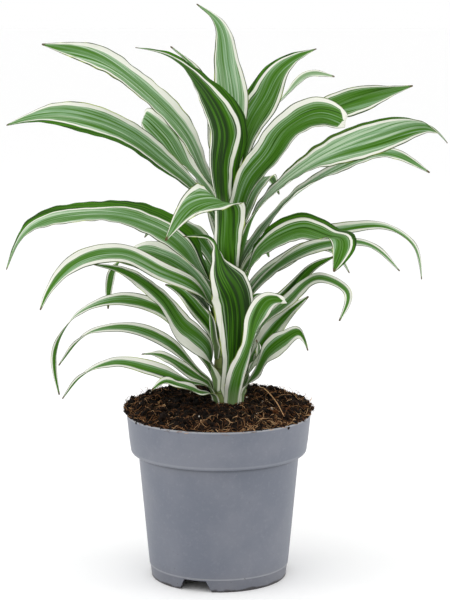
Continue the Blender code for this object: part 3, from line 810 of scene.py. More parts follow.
@dataclass
class Foliage:
    """Every leaf of the plant, each one piece that grows from a clasping foot on the cane."""

    cane: Cane = field(default_factory=Cane)
    back_seed: int = 11
    back_width: float = 17.0
    back_droop: float = 22.0
    back_shares: tuple[float, ...] = (0.28, 0.5, 0.75, 1.0)
    back_climb: float = 1.15
    back_whites: Pair = (0.12, 0.34)
    back_edges: Pair = (0.06, 0.25)
    back_milk: Pair = (0.2, 0.6)
    clearance: float = 0.85
    launch_rise: float = 3.0
    launch_flare: float = 20.0
    clasp_closeness: float = 1.15
    clasp_end: float = 0.16
    base_half_width: float = 2.0
    base_width_share: float = 0.19
    base_grip: float = 1.05
    ripple_lag: float = 1.9
    ripple_rise: float = 0.3
    ripple_fade: float = 0.2
    end_lean: float = 1.5
    thick: float = 0.5
    thin: float = 0.26
    curve_steps: int = 24
    row_pitch: float = 2.0
    column_pitch: float = 0.8
    least_rows: int = 24
    least_columns: int = 5
    ruffle_seed: int = 100
    ruffle_share: float = 0.01
    ruffle_pitch: float = 11.0
    ruffle_beats: tuple[Pair, ...] = ((1.0, 0.57), (0.9, 0.63))
    rib_rise: float = 0.06
    rib_pitch: float = 2.4
    groove: float = 0.22
    groove_width: float = 1.3
    groove_start: float = 0.1
    foot_drop: float = 8.0
    foot_rows: int = 6
    foot_taper: float = 0.35
    foot_gap: float = 0.15
    white_end: float = 6.0
    core_spread: float = 0.8
    golden: float = 0.618
    seed_step: float = 3.7

    def build(self) -> list[Piece]:
        """Make every leaf as its own piece, in place of its solid where it has one.

        Returns:
            The pieces.
        """
        material = BladeFinish().make()
        rng = np.random.default_rng(self.back_seed)
        leaves = list(LEAVES)
        for number, row in enumerate(BACK_LEAVES, 1):
            leaves.append(self.back_leaf(f"back_{number}", *row, rng))
        blades = [self.blade(leaf, seed, material) for seed, leaf in enumerate((*leaves, *YOUNG_LEAVES))]
        for leaf, blade in zip(leaves, blades):
            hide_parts(f"leaf_{leaf.name}")
        return blades

    def back_leaf(self, name: str, azimuth: float, root: float, span: float, rise: float,
                  rng: Random) -> Leaf:
        """Return one arching leaf of the back, its path worked out from its span and rise.

        Args:
            name: The leaf's name.
            azimuth: Where it points, from +X.
            root: Its root's height.
            span: How far it reaches from the cane.
            rise: How far it climbs above its root.
            rng: The source of its stripes.

        Returns:
            The leaf.
        """
        way = ray(math.radians(azimuth))
        path = []
        for share in self.back_shares:
            x, y = way * span * share
            climb = rise * math.sin(min(share * self.back_climb, 1.0) * math.pi / 2)
            path.append((self.cane.x + x, y, root + climb - self.back_droop * share ** 4))
        whites = rng.uniform(*self.back_whites, 2)
        stripes = Stripes(rng.choice(self.back_edges), *whites, milk=rng.uniform(*self.back_milk))
        return Leaf(name, root, tuple(path), self.back_width, stripes=stripes)

    def midrib(self, leaf: Leaf) -> tuple[Array, Array]:
        """Return a leaf's midrib.

        Args:
            leaf: The leaf.

        Returns:
            Close points along it, and the way that its upper face looks at the root.
        """
        first = np.array(leaf.path[0], float)
        outward = unit(np.array([first[0] - self.cane.x, first[1], 0.0]))
        root = np.array([self.cane.x, 0, leaf.root]) + outward * self.reach(leaf)
        flare = math.radians(self.launch_flare)
        launch = root + self.launch_rise * (outward * math.sin(flare) + np.array([0, 0, math.cos(flare)]))
        return self.through(np.array([root, launch, *leaf.path], float)), -outward

    def through(self, knots: Array) -> Array:
        """Return close points on a smooth curve through the knots.

        Args:
            knots: The points to pass.

        Returns:
            The curve's points.
        """
        chords = np.diff(knots, axis=0)
        spans = np.linalg.norm(chords, axis=1)
        ways = unit(chords)
        slopes = [ways[0]]
        for before, after, near, far in zip(ways, ways[1:], spans, spans[1:]):
            slopes.append(before + (after - before) * near / (near + far))
        slopes.append(ways[-1] * self.end_lean - slopes[-1] * (self.end_lean - 1))
        t = np.linspace(0, 1, self.curve_steps + 1)[1:, None]
        points = [knots[:1]]
        for number, span in enumerate(spans):
            points.append(knots[number] * (2 * t ** 3 - 3 * t ** 2 + 1)
                          + slopes[number] * span * (t ** 3 - 2 * t ** 2 + t)
                          + knots[number + 1] * (3 * t ** 2 - 2 * t ** 3)
                          + slopes[number + 1] * span * (t ** 3 - t ** 2))
        return np.concatenate(points)

    def reach(self, leaf: Leaf) -> float:
        """Return how far a leaf's root lies from the cane's axis."""
        return self.cane.radius(leaf.root) + self.clearance

    def base_half(self, leaf: Leaf) -> float:
        """Return the half width of a blade's base, which clasps the cane part of the way round."""
        grip = self.base_grip * self.reach(leaf)
        return min(leaf.width / 2, self.base_half_width + self.base_width_share * leaf.width, grip)

    def half_width(self, leaf: Leaf, v: Array) -> Array:
        """Return the blade's half width along its length.

        Args:
            leaf: The leaf.
            v: Shares of its length.

        Returns:
            The half widths.
        """
        full = leaf.width / 2
        base = self.base_half(leaf)
        rising = base + (full - base) * smooth(v / leaf.widest)
        share = np.clip((v - leaf.widest) / (1 - leaf.widest), 0, 1)
        falling = leaf.tip + (full - leaf.tip) * (1 - share ** leaf.taper)
        return np.where(v < leaf.widest, rising, falling)

    def cupping(self, leaf: Leaf, v: Array) -> Array:
        """Return the edges' rise as a share of the half width, round the cane at the base."""
        clasp = self.clasp_closeness * self.base_half(leaf) / (2 * self.reach(leaf))
        return leaf.channel + (clasp - leaf.channel) * (1 - smooth(v / self.clasp_end))

    def roll_angle(self, leaf: Leaf, v: Array) -> Array:
        """Return the blade's turn about its midrib at shares of its length, in radians."""
        early, later = smooth(v / leaf.roll_by), smooth((v - leaf.roll_by) / (1 - leaf.roll_by))
        return np.radians(leaf.roll[0] * early + (leaf.roll[1] - leaf.roll[0]) * later)

    def lift(self, leaf: Leaf, seed: int, v: Array, u: Array, half: Array, length: float) -> Array:
        """Return how far a blade rises over a flat strap: cupped, waved, ruffled, ribbed and grooved.

        Args:
            leaf: The leaf.
            seed: The leaf's own seed.
            v: Each row's share of the length, in a column.
            u: Each column's share of the half width.
            half: Each row's half width, in a column.
            length: The midrib's length.

        Returns:
            The rise of each point of the grid.
        """
        swing = leaf.wave * smooth(v / self.ripple_rise) * smooth((1 - v) / self.ripple_fade)
        lag = np.where(u > 0, self.ripple_lag, 0.0)
        rise = half * self.cupping(leaf, v) * u * u
        rise += swing * u * u * np.sin(math.tau * leaf.waves * v + lag)
        phases = np.random.default_rng(self.ruffle_seed + seed).uniform(0, math.tau, 4).reshape(2, 2)
        beat = math.tau * v * length / self.ruffle_pitch
        high, low = [sum(np.sin(beat * pace + phase) for pace, phase in zip(paces, row))
                     for paces, row in zip(self.ruffle_beats, phases)]
        ruffle = self.ruffle_share * leaf.width * np.minimum(swing, 1.0) * np.abs(u) ** 3
        rise += ruffle * np.where(u > 0, high, low)
        rise += self.rib_rise * np.cos(math.tau * u * half / self.rib_pitch)
        middle = np.exp(-(u * half / self.groove_width) ** 2)
        return rise - self.groove * middle * smooth(v / self.groove_start)

    def surface(self, leaf: Leaf, seed: int) -> tuple[Array, Array, Array, Array, float]:
        """Return a blade's middle surface as a grid of points.

        Args:
            leaf: The leaf.
            seed: The leaf's own seed.

        Returns:
            The grid, each row's share of the length and half width, each column's share of the half width,
            and the midrib's length.
        """
        line, normal = self.midrib(leaf)
        lengths = np.concatenate([[0.0], np.cumsum(np.linalg.norm(np.diff(line, axis=0), axis=1))])
        length = float(lengths[-1])
        v = np.linspace(0, 1, max(self.least_rows, round(length / self.row_pitch)) + 1)
        u = np.linspace(-1, 1, 2 * max(self.least_columns, round(leaf.width / self.column_pitch / 2)) + 1)
        points = np.stack([np.interp(v * length, lengths, part) for part in line.T], axis=1)
        half = self.half_width(leaf, v)
        rises = self.lift(leaf, seed, v[:, None], u, half[:, None], length)
        grid = []
        rows = zip(points, unit(np.gradient(points, axis=0)), half, self.roll_angle(leaf, v), rises)
        for point, tangent, wide, turn, rise in rows:
            normal = unit(normal - tangent * (normal @ tangent))
            up = normal * math.cos(turn) + np.cross(tangent, normal) * math.sin(turn)
            grid.append(point + np.outer(wide * u, np.cross(tangent, up)) + np.outer(rise, up))
        return np.array(grid), v, half, u, length

    def foot(self, first: Array) -> Array:
        """Return the rows of a blade's foot, which runs down the cane under the next leaf's base.

        Args:
            first: The points of the blade's first row.

        Returns:
            The rows, from the lowest up.
        """
        x, y = first[:, 0] - self.cane.x, first[:, 1]
        radii, turns = np.hypot(x, y), np.arctan2(y, x)
        middle = turns[len(turns) // 2]
        aside = (turns - middle + math.pi) % math.tau - math.pi
        share = np.arange(self.foot_rows, 0, -1)[:, None] / self.foot_rows
        heights = first[:, 2] - self.foot_drop * share
        near = self.cane.radius(heights) + self.foot_gap
        radius = radii + (near - radii) * smooth(share)
        turn = middle + aside * (1 - self.foot_taper * share)
        return np.stack([self.cane.x + radius * np.cos(turn), radius * np.sin(turn), heights], axis=2)

    def blade(self, leaf: Leaf, seed: int, material: Material) -> Piece:
        """Return one leaf as a thin closed blade with its stripes as attributes.

        Args:
            leaf: The leaf.
            seed: The leaf's own seed.
            material: The shared leaf material.

        Returns:
            The piece.
        """
        grid, v, half, u, length = self.surface(leaf, seed)
        below = -self.foot_drop / length * np.arange(self.foot_rows, 0, -1) / self.foot_rows
        grid = np.concatenate([self.foot(grid[0]), grid])
        half = np.concatenate([np.full(self.foot_rows, half[0]), half])[:, None]
        v = np.concatenate([below, v])[:, None]
        normals = unit(np.cross(np.gradient(grid, axis=1), np.gradient(grid, axis=0)))
        depth = (self.thin + (self.thick - self.thin) * (1 - u * u))[:, None] / 2
        verts = np.concatenate([(grid + normals * depth * sign).reshape(-1, 3) for sign in (1, -1)])

        stripes = leaf.stripes
        edge = np.where(u > 0, stripes.high_edge, stripes.low_edge)
        white = np.where(u > 0, stripes.high_white, stripes.low_white)
        milk = stripes.milk + stripes.lean * u + stripes.fading * v
        tip_mm = length - v * length
        if not stripes.dry:
            white = white + smooth((self.white_end - tip_mm) / self.white_end)
            tip_mm = tip_mm + self.white_end
        core = stripes.core
        if core is None:
            core = (seed * self.golden % 1 - 0.5) * self.core_spread
        size = grid.shape[:2]
        facing = [spread(size, lower, tip_mm, half * u - core * half) for lower in (0.0, 1.0)]
        attributes = {
            "across": np.tile(spread(size, u).ravel(), 2),
            "reach": np.tile(spread(size, half * u, v * length, seed * self.seed_step), (2, 1)),
            "bands": np.tile(spread(size, edge, white, milk), (2, 1)),
            "facing": np.concatenate(facing),
        }
        piece = new_object(f"blade_{leaf.name}", verts, self.faces(size), material, **attributes)
        return seat(piece, Slot.LEAF)

    def faces(self, size: tuple[int, int]) -> Faces:
        """Return the faces of a closed blade with an upper and a lower grid.

        Args:
            size: The rows and columns of each grid.

        Returns:
            The faces.
        """
        upper = np.arange(size[0] * size[1]).reshape(size)
        lower = upper + upper.size
        faces = weave(upper) + weave(lower[::-1])
        for side in (np.s_[:, 0], np.s_[::-1, -1], np.s_[0, ::-1], np.s_[-1]):
            faces += weave(np.stack([upper[side], lower[side]]))
        return faces


@dataclass
class Pot:
    """The nursery pot: tapered body, stepped rim band, raised drained floor and a notched foot."""

    height: float = 107.9
    rim_radius: float = 60.0
    band_foot_radius: float = 57.4
    band_bottom: float = 82.2
    band_rounding: float = 2.6
    band_crease: Pair = (0.25, 0.05)
    band_rows: tuple[float, ...] = (0.35, 0.6, 0.9)
    body_top_radius: float = 52.5
    body_foot_radius: float = 44.9
    body_rows: tuple[float, float, int] = (0.12, 0.97, 12)
    wall: float = 1.2
    lip: float = 0.5
    small_rounding: float = 0.3
    foot_height: float = 8.0
    foot_inset: float = 0.6
    foot_ring_width: float = 2.2
    foot_rounding: float = 0.35
    foot_bevel: float = 0.4
    step_rise: float = 0.2
    sides: int = 192
    notch_count: int = 3
    notch_azimuth: float = -110.0
    notch_top: float = 15.0
    notch_bottom: float = 23.0
    notch_foot: float = -1.0
    drain_count: int = 6
    drain_radius: float = 4.0
    drain_circle: float = 33.0
    drain_sides: int = 24
    sharp_angle: float = 38.0

    def body_radius(self, height: float) -> float:
        """Return the body's outer radius at a height."""
        share = height / self.band_bottom
        return self.body_foot_radius + (self.body_top_radius - self.body_foot_radius) * share

    def band_radius(self, height: float) -> float:
        """Return the rim band's outer radius at a height."""
        share = (height - self.band_bottom) / (self.height - self.band_bottom)
        return self.band_foot_radius + (self.rim_radius - self.band_foot_radius) * share

    def arc(self, x: float, y: float, radius: float, start: float, end: float, steps: int) -> list:
        """Return points on an arc round a point of the profile, from one angle to another."""
        turns = np.radians(np.linspace(start, end, steps + 1))
        return [(x + radius * math.cos(turn), y + radius * math.sin(turn)) for turn in turns]

    def profile(self) -> list[Pair]:
        """Work out the pot's outline from the floor's underside round to its top.

        Returns:
            Its points as radius and height pairs.
        """
        small, tight, bevel = self.small_rounding, self.foot_rounding, self.foot_bevel
        foot = self.body_radius(0) - self.foot_inset
        inner = foot - self.foot_ring_width
        step = self.body_radius(self.foot_height)
        floor_top = self.foot_height + self.wall
        shoulder = self.band_bottom + self.wall
        aside, under = self.band_crease
        body = [self.foot_height + (self.band_bottom - self.foot_height) * share
                for share in np.linspace(*self.body_rows)]
        band = [self.band_bottom + (self.height - self.band_bottom) * share for share in self.band_rows]
        return [
            (0.0, self.foot_height),
            (inner - bevel, self.foot_height),
            (inner, self.foot_height - bevel),
            (inner, tight),
            (inner + tight, 0.0),
            *self.arc(foot - tight, tight, tight, -90, 0, 3),
            (step - self.foot_inset, self.foot_height - self.foot_inset),
            *self.arc(step - small, self.foot_height + self.step_rise, small, -60, 20, 3),
            *((self.body_radius(height), height) for height in body),
            (self.body_radius(self.band_bottom) + aside, self.band_bottom - under),
            *self.arc(self.band_radius(self.band_bottom) - self.band_rounding,
                      self.band_bottom + self.band_rounding, self.band_rounding, -90, 0, 8),
            *((self.band_radius(height), height) for height in band),
            *self.arc(self.rim_radius - self.lip, self.height - self.lip, self.lip, 0, 90, 5),
            *self.arc(self.rim_radius - self.wall + small, self.height - small, small, 90, 180, 3),
            (self.band_radius(shoulder) - self.wall, shoulder),
            (self.body_radius(shoulder) - self.wall, shoulder),
            (self.body_radius(floor_top) - self.wall, floor_top),
            (0.0, floor_top),
        ]

    def cutter(self, name: str, corners: list[Point]) -> Piece:
        """Return a solid to cut with, which spans the given corners.

        Args:
            name: The cutter's name.
            corners: Its corners in millimetres.

        Returns:
            The cutter.
        """
        bm = bmesh.new()
        bmesh.ops.convex_hull(bm, input=[bm.verts.new(np.array(corner) * MM) for corner in corners])
        bmesh.ops.recalc_face_normals(bm, faces=bm.faces)
        mesh = bpy.data.meshes.new(name)
        bm.to_mesh(mesh)
        bm.free()
        return link(bpy.data.objects.new(name, mesh))

    def cutters(self) -> list[Piece]:
        """Make the notches' and drain holes' cutters.

        Returns:
            The cutters.
        """
        made = []
        inner = self.body_radius(0) - self.foot_inset - self.foot_ring_width
        levels = ((self.notch_bottom / 2, self.notch_foot),
                  (self.notch_top / 2, self.foot_height - self.foot_inset))
        for number in range(self.notch_count):
            out = ray(math.radians(self.notch_azimuth + number * 360 / self.notch_count))
            beside = np.array([-out[1], out[0]])
            corners = [(*(out * radius + beside * half * sign), height)
                       for radius in (inner - self.wall, self.body_radius(0) + self.wall)
                       for half, height in levels for sign in (-1, 1)]
            made.append(self.cutter(f"notch_cutter_{number}", corners))
        for number in range(self.drain_count):
            centre = self.drain_circle * ray(math.tau * number / self.drain_count)
            corners = [(*(centre + self.drain_radius * ray(turn)), height)
                       for turn in np.linspace(0, math.tau, self.drain_sides, endpoint=False)
                       for height in (self.foot_height - self.wall, self.foot_height + 2 * self.wall)]
            made.append(self.cutter(f"drain_cutter_{number}", corners))
        return made

    def build(self) -> list[Piece]:
        """Turn, cut and dress the pot.

        Returns:
            The piece, in a list.
        """
        verts, faces = turned(self.profile(), self.sides)
        pot = new_object("nursery_pot", verts, faces, PlasticFinish().make())
        cutters = self.cutters()
        for cutter in cutters:
            cut = pot.modifiers.new(cutter.name, "BOOLEAN")
            cut.operation = "DIFFERENCE"
            cut.solver = "EXACT"
            cut.object = cutter
        graph = bpy.context.evaluated_depsgraph_get()
        mesh = bpy.data.meshes.new_from_object(pot.evaluated_get(graph))
        pot.modifiers.clear()
        pot.data = mesh
        for cutter in cutters:
            bpy.data.objects.remove(cutter, do_unlink=True)
        mesh.set_sharp_from_angle(angle=math.radians(self.sharp_angle))
        return [seat(pot, Slot.POT, "pot")]


@dataclass
class Soil:
    """The peat heap: a rough surface with loose crumbs, root fibres and perlite on it.

    Noise layers are rows of a height, the length of a wave and a seed.
    """

    pot: Pot
    cane: Cane
    gap: float = 0.3
    centre: float = 115.0
    shoulder: float = 117.0
    front_drop: float = 7.0
    edge_back: float = 112.0
    edge_front: float = 107.0
    wall_top: float = 100.0
    smooth_rim: float = 0.93
    first_ring: float = 0.02
    relief: float = 0.8
    sink: float = 0.8
    relief_layers: Layers = ((0.9, 9.0, 21), (0.5, 3.6, 22))
    shade_layers: Layers = ((0.2, 14.0, 23), (0.15, 4.0, 24))
    shade: float = 0.24
    rings: int = 60
    sides: int = 180
    crumbs: int = 5200
    crumb_radii: tuple[float, float, float] = (0.4, 1.3, 0.45)
    crumb_shades: Pair = (0.8, 2.8)
    clods: int = 260
    clod_radii: tuple[float, float, float] = (1.4, 3.0, 1.5)
    clod_shades: Pair = (1.2, 3.8)
    lump_roughness: Pair = (0.65, 1.3)
    lump_squash: Pair = (0.55, 1.25)
    rim_scatter: float = 2.2
    fibres: int = 1500
    fibre_lengths: Pair = (3.0, 14.0)
    fibre_radii: Pair = (0.06, 0.17)
    fibre_shades: Pair = (0.7, 1.3)
    fibre_steps: int = 9
    fibre_start: Pair = (0.2, 1.2)
    fibre_bend: float = 0.35
    fibre_wander: float = 0.15
    fibre_hop: Pair = (0.3, 1.8)
    fibre_uneven: Pair = (0.6, 1.0)
    fibre_paleness: float = 1.5
    fibre_thin_end: float = 0.35
    grains: int = 24
    grain_radii: Pair = (0.3, 0.8)
    overhang: float = 1.6
    front_shortfall: float = 3.0
    straw: tuple[Point, ...] = ((27, 20, 120.5), (29.5, 12, 121.5), (32, 2, 121), (35, -8, 119.5),
                                (38, -20, 117.5), (41.5, -38, 113.5))
    straw_radius: float = 0.42
    straw_steps: int = 24
    seed: int = 5

    def front(self, x: Array, y: Array) -> Array:
        """Return how far towards the front a place's direction is, from 0 to 1."""
        return smooth(0.5 - 0.5 * y / np.maximum(np.hypot(x, y), 1.0)) ** 2

    def limit(self, x: Array, y: Array) -> Array:
        """Return how far from the axis loose bits lie: over the rim, but short of it at the front."""
        return self.pot.rim_radius + self.overhang - self.front_shortfall * self.front(x, y)

    def height(self, x: Array, y: Array) -> Array:
        """Return the heap's surface height.

        Args:
            x: Places across.
            y: Places in depth.

        Returns:
            The heights there.
        """
        out = np.hypot(x, y) / (self.pot.rim_radius - self.pot.wall)
        front = self.front(x, y)
        edge = self.edge_back + (self.edge_front - self.edge_back) * front
        shoulder = self.shoulder - self.front_drop * front * out
        inner = self.centre + (shoulder - self.centre) * smooth(out / 0.8)
        height = inner + (edge - inner) * smooth((out - 0.8) / 0.2)
        relief = np.sin(0.31 * x + 1.3) * np.sin(0.27 * y + 0.4) + np.sin(0.53 * x - 0.41 * y)
        return height + self.relief * relief * (1 - smooth((out - 0.85) / 0.15))

    def peat_paleness(self, places: Array) -> Array:
        """Return how pale the peat is made: dark round the cane, paler outwards and to the right, darker at
        the front rim.

        Args:
            places: Points as rows of three.

        Returns:
            A factor of about 0.3 to 1.5 for each point.
        """
        x, y = places[:, 0], places[:, 1]
        out = np.hypot(x, y) / self.pot.rim_radius
        right = smooth(0.5 + x / self.pot.rim_radius)
        front = self.front(x, y)
        ring = smooth((out - 0.4) / 0.35) * (0.5 + 0.5 * front)
        return 0.18 + ring + 0.5 * right ** 2 - 0.4 * front * smooth((out - 0.8) / 0.15)

    def away(self, places: Array, gap: float) -> Array:
        """Return which places lie farther from the cane's foot than a gap."""
        return np.hypot(places[:, 0] - self.cane.x, places[:, 1]) > self.cane.foot_radius + gap

    def shades(self, places: Array, curve: Pair, rng: Random) -> Array:
        """Return a random shade for each place from a beta curve, scaled by how pale the peat is made there.
        """
        return rng.beta(*curve, len(places)) * self.peat_paleness(places)

    def heap(self) -> Piece:
        """Make the soil's body, down to the pot's floor, with a rough top.

        Returns:
            The piece.
        """
        pot = self.pot
        inset = pot.wall + self.gap
        rim = pot.rim_radius - inset
        floor = pot.foot_height + inset
        shoulder = pot.band_bottom + inset
        walls = ((rim, self.wall_top), (pot.band_radius(shoulder) - inset, shoulder),
                 (pot.body_radius(shoulder) - inset, shoulder), (pot.body_radius(floor) - inset, floor))
        turns = np.linspace(0, math.tau, self.sides, endpoint=False)
        radii, levels = np.transpose(walls)[:, :, None]
        radii = np.concatenate([rim * np.linspace(self.first_ring, 1.0, self.rings)[:, None], radii])
        levels = np.concatenate([np.zeros((self.rings, 1)), levels])
        verts = spread((len(radii), self.sides), radii * np.cos(turns), radii * np.sin(turns), levels)
        top = verts[:self.rings * self.sides]
        out = np.hypot(top[:, 0], top[:, 1]) / rim
        edge = 1 - smooth((out - self.smooth_rim) / (1 - self.smooth_rim))
        rough = layered_noise(top, self.relief_layers) * edge
        top[:, 2] = self.height(top[:, 0], top[:, 1]) + rough - self.sink
        numbers = ringed(0, len(radii), self.sides)
        faces = weave(numbers.T) + [numbers[0, :-1].tolist(), numbers[-1, -2::-1].tolist()]
        shade = (self.shade + layered_noise(verts, self.shade_layers)) * self.peat_paleness(verts)
        piece = new_object("soil_heap", verts, faces, PeatFinish().make(), shade=np.clip(shade, 0, 1))
        return seat(piece, Slot.SOIL, "soil")

    def spots(self, count: int, rng: Random, rim_share: float) -> Array:
        """Return places on the heap's surface, some of them gathered at the rim.

        Args:
            count: The number of places.
            rng: The source of the places.
            rim_share: The share of places that lie near the rim.

        Returns:
            The places as rows of three.
        """
        turn = rng.uniform(0, math.tau, count)
        limit = self.limit(np.cos(turn) * self.pot.rim_radius, np.sin(turn) * self.pot.rim_radius)
        far = np.sqrt(rng.uniform(0.01, 1, count)) * limit
        near_rim = rng.uniform(0, 1, count) < rim_share
        far = np.where(near_rim, limit - np.abs(rng.normal(0, self.rim_scatter, count)), far)
        x, y = far * np.cos(turn), far * np.sin(turn)
        return np.stack([x, y, self.height(x, y)], axis=1)

    def lumps(self, name: str, places: Array, sizes: Array, shades: Array, level: int, material: Material,
              rng: Random) -> Piece:
        """Return many rough lumps as one piece.

        Args:
            name: The piece's name.
            places: The lumps' centres.
            sizes: The lumps' radii.
            shades: The lumps' shades.
            level: How finely each lump is divided.
            material: The lumps' finish.
            rng: The source of their shapes.

        Returns:
            The piece.
        """
        bm = bmesh.new()
        bmesh.ops.create_icosphere(bm, subdivisions=level, radius=1.0)
        ball = np.array([vert.co[:] for vert in bm.verts])
        tris = np.array([[vert.index for vert in face.verts] for face in bm.faces])
        bm.free()
        count = len(places)
        shape = ball[None] * rng.uniform(*self.lump_roughness, (count, len(ball), 1))
        shape = shape * rng.uniform(*self.lump_squash, (count, 1, 3)) * sizes[:, None, None]
        spins = np.linalg.qr(rng.normal(size=(count, 3, 3)))[0]
        spins[np.linalg.det(spins) < 0, :, 0] *= -1
        verts = np.einsum("nij,nkj->nki", spins, shape) + places[:, None]
        faces = (tris[None] + (np.arange(count) * len(ball))[:, None, None]).reshape(-1, 3).tolist()
        piece = new_object(name, verts.reshape(-1, 3), faces, material, shade=np.repeat(shades, len(ball)))
        piece.data.shade_flat()
        return seat(piece, Slot.SOIL)

    def threads(self, name: str, lines: list[Array], radii: Array, shades: Array,
                material: Material) -> Piece:
        """Return thin fibres as one piece, each a three-sided tapered tube.

        Args:
            name: The piece's name.
            lines: Each fibre's points.
            radii: Each fibre's radius.
            shades: Each fibre's shade.
            material: The fibres' finish.

        Returns:
            The piece.
        """
        verts: list[Array] = []
        faces: Faces = []
        start = 0
        for line, radius in zip(lines, radii):
            ways = unit(np.gradient(line, axis=0))
            first = unit(np.cross(ways, [0.0, 0.0, 1.0]) + 1e-6)
            second = np.cross(ways, first)
            swell = np.sin(np.linspace(0.25, math.pi - 0.25, len(line)))[:, None]
            taper = radius * (self.fibre_thin_end + (1 - self.fibre_thin_end) * swell)
            for turn in (0.0, math.tau / 3, 2 * math.tau / 3):
                verts.append(line + taper * (first * math.cos(turn) + second * math.sin(turn)))
            numbers = start + np.arange(3 * len(line)).reshape(3, -1)
            faces += weave(np.vstack([numbers, numbers[:1]]))
            faces += [numbers[:, 0].tolist(), numbers[::-1, -1].tolist()]
            start += numbers.size
        shade = np.repeat(shades, [3 * len(line) for line in lines])
        return seat(new_object(name, np.concatenate(verts), faces, material, shade=shade), Slot.SOIL)

    def fibre_line(self, place: Array, length: float, rng: Random) -> Array:
        """Return a curling fibre that lies on the heap from a place on.

        Args:
            place: Where the fibre starts.
            length: How long it is.
            rng: The source of its curl.

        Returns:
            The fibre's points.
        """
        heading = rng.uniform(0, math.tau)
        bend = rng.normal(0, self.fibre_bend)
        points = [place + [0, 0, rng.uniform(*self.fibre_start)]]
        hop = rng.uniform(*self.fibre_hop)
        for step in range(1, self.fibre_steps):
            heading += bend + rng.normal(0, self.fibre_wander)
            ahead = points[-1] + length / self.fibre_steps * np.append(ray(heading), 0.0)
            out = math.hypot(ahead[0], ahead[1])
            limit = float(self.limit(ahead[0], ahead[1])) + self.overhang
            if out > limit:
                ahead[:2] *= limit / out
            inside = out < self.pot.rim_radius - 1.0
            level = float(self.height(ahead[0], ahead[1])) if inside else ahead[2] - 1.0
            arch = hop * math.sin(math.pi * step / self.fibre_steps)
            ahead[2] = level + 0.5 + arch * rng.uniform(*self.fibre_uneven)
            points.append(ahead)
        return np.array(points)

    def straw_line(self) -> Array:
        """Return the points of the long pale straw that lies across the heap's right side."""
        places = np.linspace(0, len(self.straw) - 1, self.straw_steps)
        return np.stack([np.interp(places, range(len(part)), part) for part in zip(*self.straw)], axis=1)

    def loose_crumbs(self, material: Material, rng: Random) -> Piece:
        """Scatter the crumbs, most of them very small.

        Args:
            material: The finish.
            rng: The source of their places, sizes and shades.

        Returns:
            The piece.
        """
        places = self.spots(self.crumbs, rng, rim_share=0.14)
        least, more, power = self.crumb_radii
        sizes = least + more * rng.power(power, self.crumbs)
        places[:, 2] += sizes * rng.uniform(-0.5, 0.7, self.crumbs)
        clear = self.away(places, gap=1.0)
        shades = np.clip(self.shades(places, self.crumb_shades, rng), 0, 1)
        return self.lumps("soil_crumbs", places[clear], sizes[clear], shades[clear], 1, material, rng)

    def loose_clods(self, material: Material, rng: Random) -> Piece:
        """Scatter the larger clods away from the cane, smaller ones at the rim.

        Args:
            material: The finish.
            rng: The source of their places, sizes and shades.

        Returns:
            The piece.
        """
        places = self.spots(self.clods, rng, rim_share=0.25)
        least, most, rim_most = self.clod_radii
        sizes = rng.uniform(least, most, self.clods)
        places[:, 2] += sizes * rng.uniform(-0.5, 0.2, self.clods)
        clear = self.away(places, gap=6.0)
        near = np.hypot(places[:, 0], places[:, 1]) > self.limit(places[:, 0], places[:, 1]) - 2.0
        sizes = np.where(near, np.minimum(sizes, rim_most), sizes)
        shades = np.clip(self.shades(places, self.clod_shades, rng), 0, 1)
        return self.lumps("soil_clods", places[clear], sizes[clear], shades[clear], 2, material, rng)

    def loose_fibres(self, material: Material, rng: Random) -> Piece:
        """Scatter the root fibres and lay the long straw.

        Args:
            material: The finish.
            rng: The source of their places, sizes and shades.

        Returns:
            The piece.
        """
        starts = self.spots(self.fibres, rng, rim_share=0.3)
        lines = [self.fibre_line(start, rng.uniform(*self.fibre_lengths), rng) for start in starts]
        radii = rng.uniform(*self.fibre_radii, self.fibres)
        shades = self.shades(starts, self.fibre_shades, rng) * self.fibre_paleness
        return self.threads("soil_fibres", [*lines, self.straw_line()], np.append(radii, self.straw_radius),
                            np.append(shades, 1.0), material)

    def perlite(self, material: Material, rng: Random) -> Piece:
        """Scatter the white grains.

        Args:
            material: The finish.
            rng: The source of their places, sizes and shades.

        Returns:
            The piece.
        """
        spots = self.spots(self.grains, rng, rim_share=0.1) + (0.0, 0.0, 0.8)
        radii = rng.uniform(*self.grain_radii, self.grains)
        return self.lumps("perlite_grains", spots, radii, np.ones(self.grains), 2, material, rng)

    def build(self) -> list[Piece]:
        """Make the heap and everything loose on it.

        Returns:
            The pieces.
        """
        rng = np.random.default_rng(self.seed)
        loose = PeatFinish(name="loose_peat").make()
        crumbs = self.loose_crumbs(loose, rng)
        clods = self.loose_clods(loose, rng)
        root = PeatFinish("root_fibre", tone(66, 42, 26), tone(156, 108, 68), tone(226, 182, 134)).make()
        fibres = self.loose_fibres(root, rng)
        grains = self.perlite(PerliteFinish().make(), rng)
        return [self.heap(), crumbs, clods, fibres, grains]


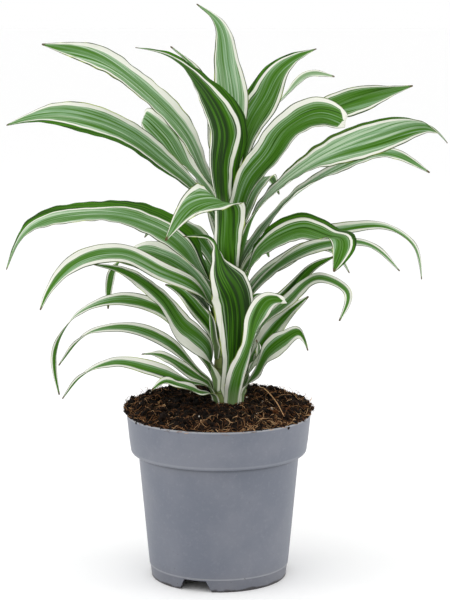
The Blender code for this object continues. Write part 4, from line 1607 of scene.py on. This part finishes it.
@dataclass
class Studio:
    """The pale floor, the soft light and the camera at the photograph's viewing angle.

    Softboxes are rows of a name, a place in metres, a side in metres and a power in watts.
    """

    camera_place: Point = (4.07, -1200.0, 370.0)
    camera_tilt: float = 8.904
    lens: float = 112.8
    sensor: float = 36.0
    clip_m: Pair = (0.05, 200.0)
    floor_size_m: float = 60.0
    world_strength: float = 1.0
    aim: Point = (0.0, 0.0, 0.2)
    softboxes: tuple[tuple[str, Point, float, float], ...] = (
        ("top_light", (-0.3, -0.5, 1.6), 1.2, 4.0),
        ("left_light", (-1.3, -0.1, 0.6), 0.9, 3.5),
        ("right_light", (1.3, -0.1, 0.6), 0.9, 3.5),
    )

    def camera(self) -> None:
        """Place the scene's camera."""
        data = bpy.data.cameras.new("camera")
        data.lens = self.lens
        data.sensor_width = self.sensor
        data.clip_start, data.clip_end = self.clip_m
        camera = link(bpy.data.objects.new("camera", data))
        camera.location = [value * MM for value in self.camera_place]
        camera.rotation_euler = (math.radians(90 - self.camera_tilt), 0.0, 0.0)
        bpy.context.scene.camera = camera

    def floor(self) -> None:
        """Lay the pale floor under the pot."""
        half = self.floor_size_m / 2 / MM
        corners = np.array([(-half, -half, 0.0), (half, -half, 0.0), (half, half, 0.0), (-half, half, 0.0)])
        floor = new_object("studio_floor", corners, [[0, 1, 2, 3]], FloorFinish().make())

    def softbox(self, name: str, place: Point, size: float, power: float) -> None:
        """Hang one soft light.

        Args:
            name: The light's name.
            place: Where it hangs, in metres.
            size: Its side, in metres.
            power: Its power in watts.
        """
        data = bpy.data.lights.new(name, "AREA")
        data.size = size
        data.energy = power
        light = link(bpy.data.objects.new(name, data))
        light.location = place
        light.rotation_euler = (Vector(self.aim) - Vector(place)).to_track_quat("-Z", "Y").to_euler()

    def lights(self) -> None:
        """Light the object evenly from all round, a little more from above and the sides."""
        world = bpy.data.worlds.new("studio_air")
        world.use_nodes = True
        back = world.node_tree.nodes["Background"]
        back.inputs["Color"].default_value = (1.0, 1.0, 1.0, 1.0)
        back.inputs["Strength"].default_value = self.world_strength
        bpy.context.scene.world = world
        for row in self.softboxes:
            self.softbox(*row)
        bpy.context.scene.view_settings.view_transform = "Standard"

    def build(self) -> None:
        """Set up the floor, the light and the camera."""
        self.camera()
        self.floor()
        self.lights()


def main() -> None:
    """Build the studio and every piece in order, and report each piece."""
    logging.basicConfig(level=logging.INFO, format="%(message)s")
    Studio().build()
    pot = Pot()
    cane = Cane()
    pieces = [*pot.build(), *Soil(pot, cane).build(), cane.build(), *Foliage(cane).build()]
    total = 0
    for piece in pieces:
        piece.data.calc_loop_triangles()
        total += len(piece.data.loop_triangles)
        LOG.info("%s: %d triangles", piece.name, len(piece.data.loop_triangles))
    LOG.info("%d pieces, %d triangles", len(pieces), total)


if __name__ == "__main__":
    main()
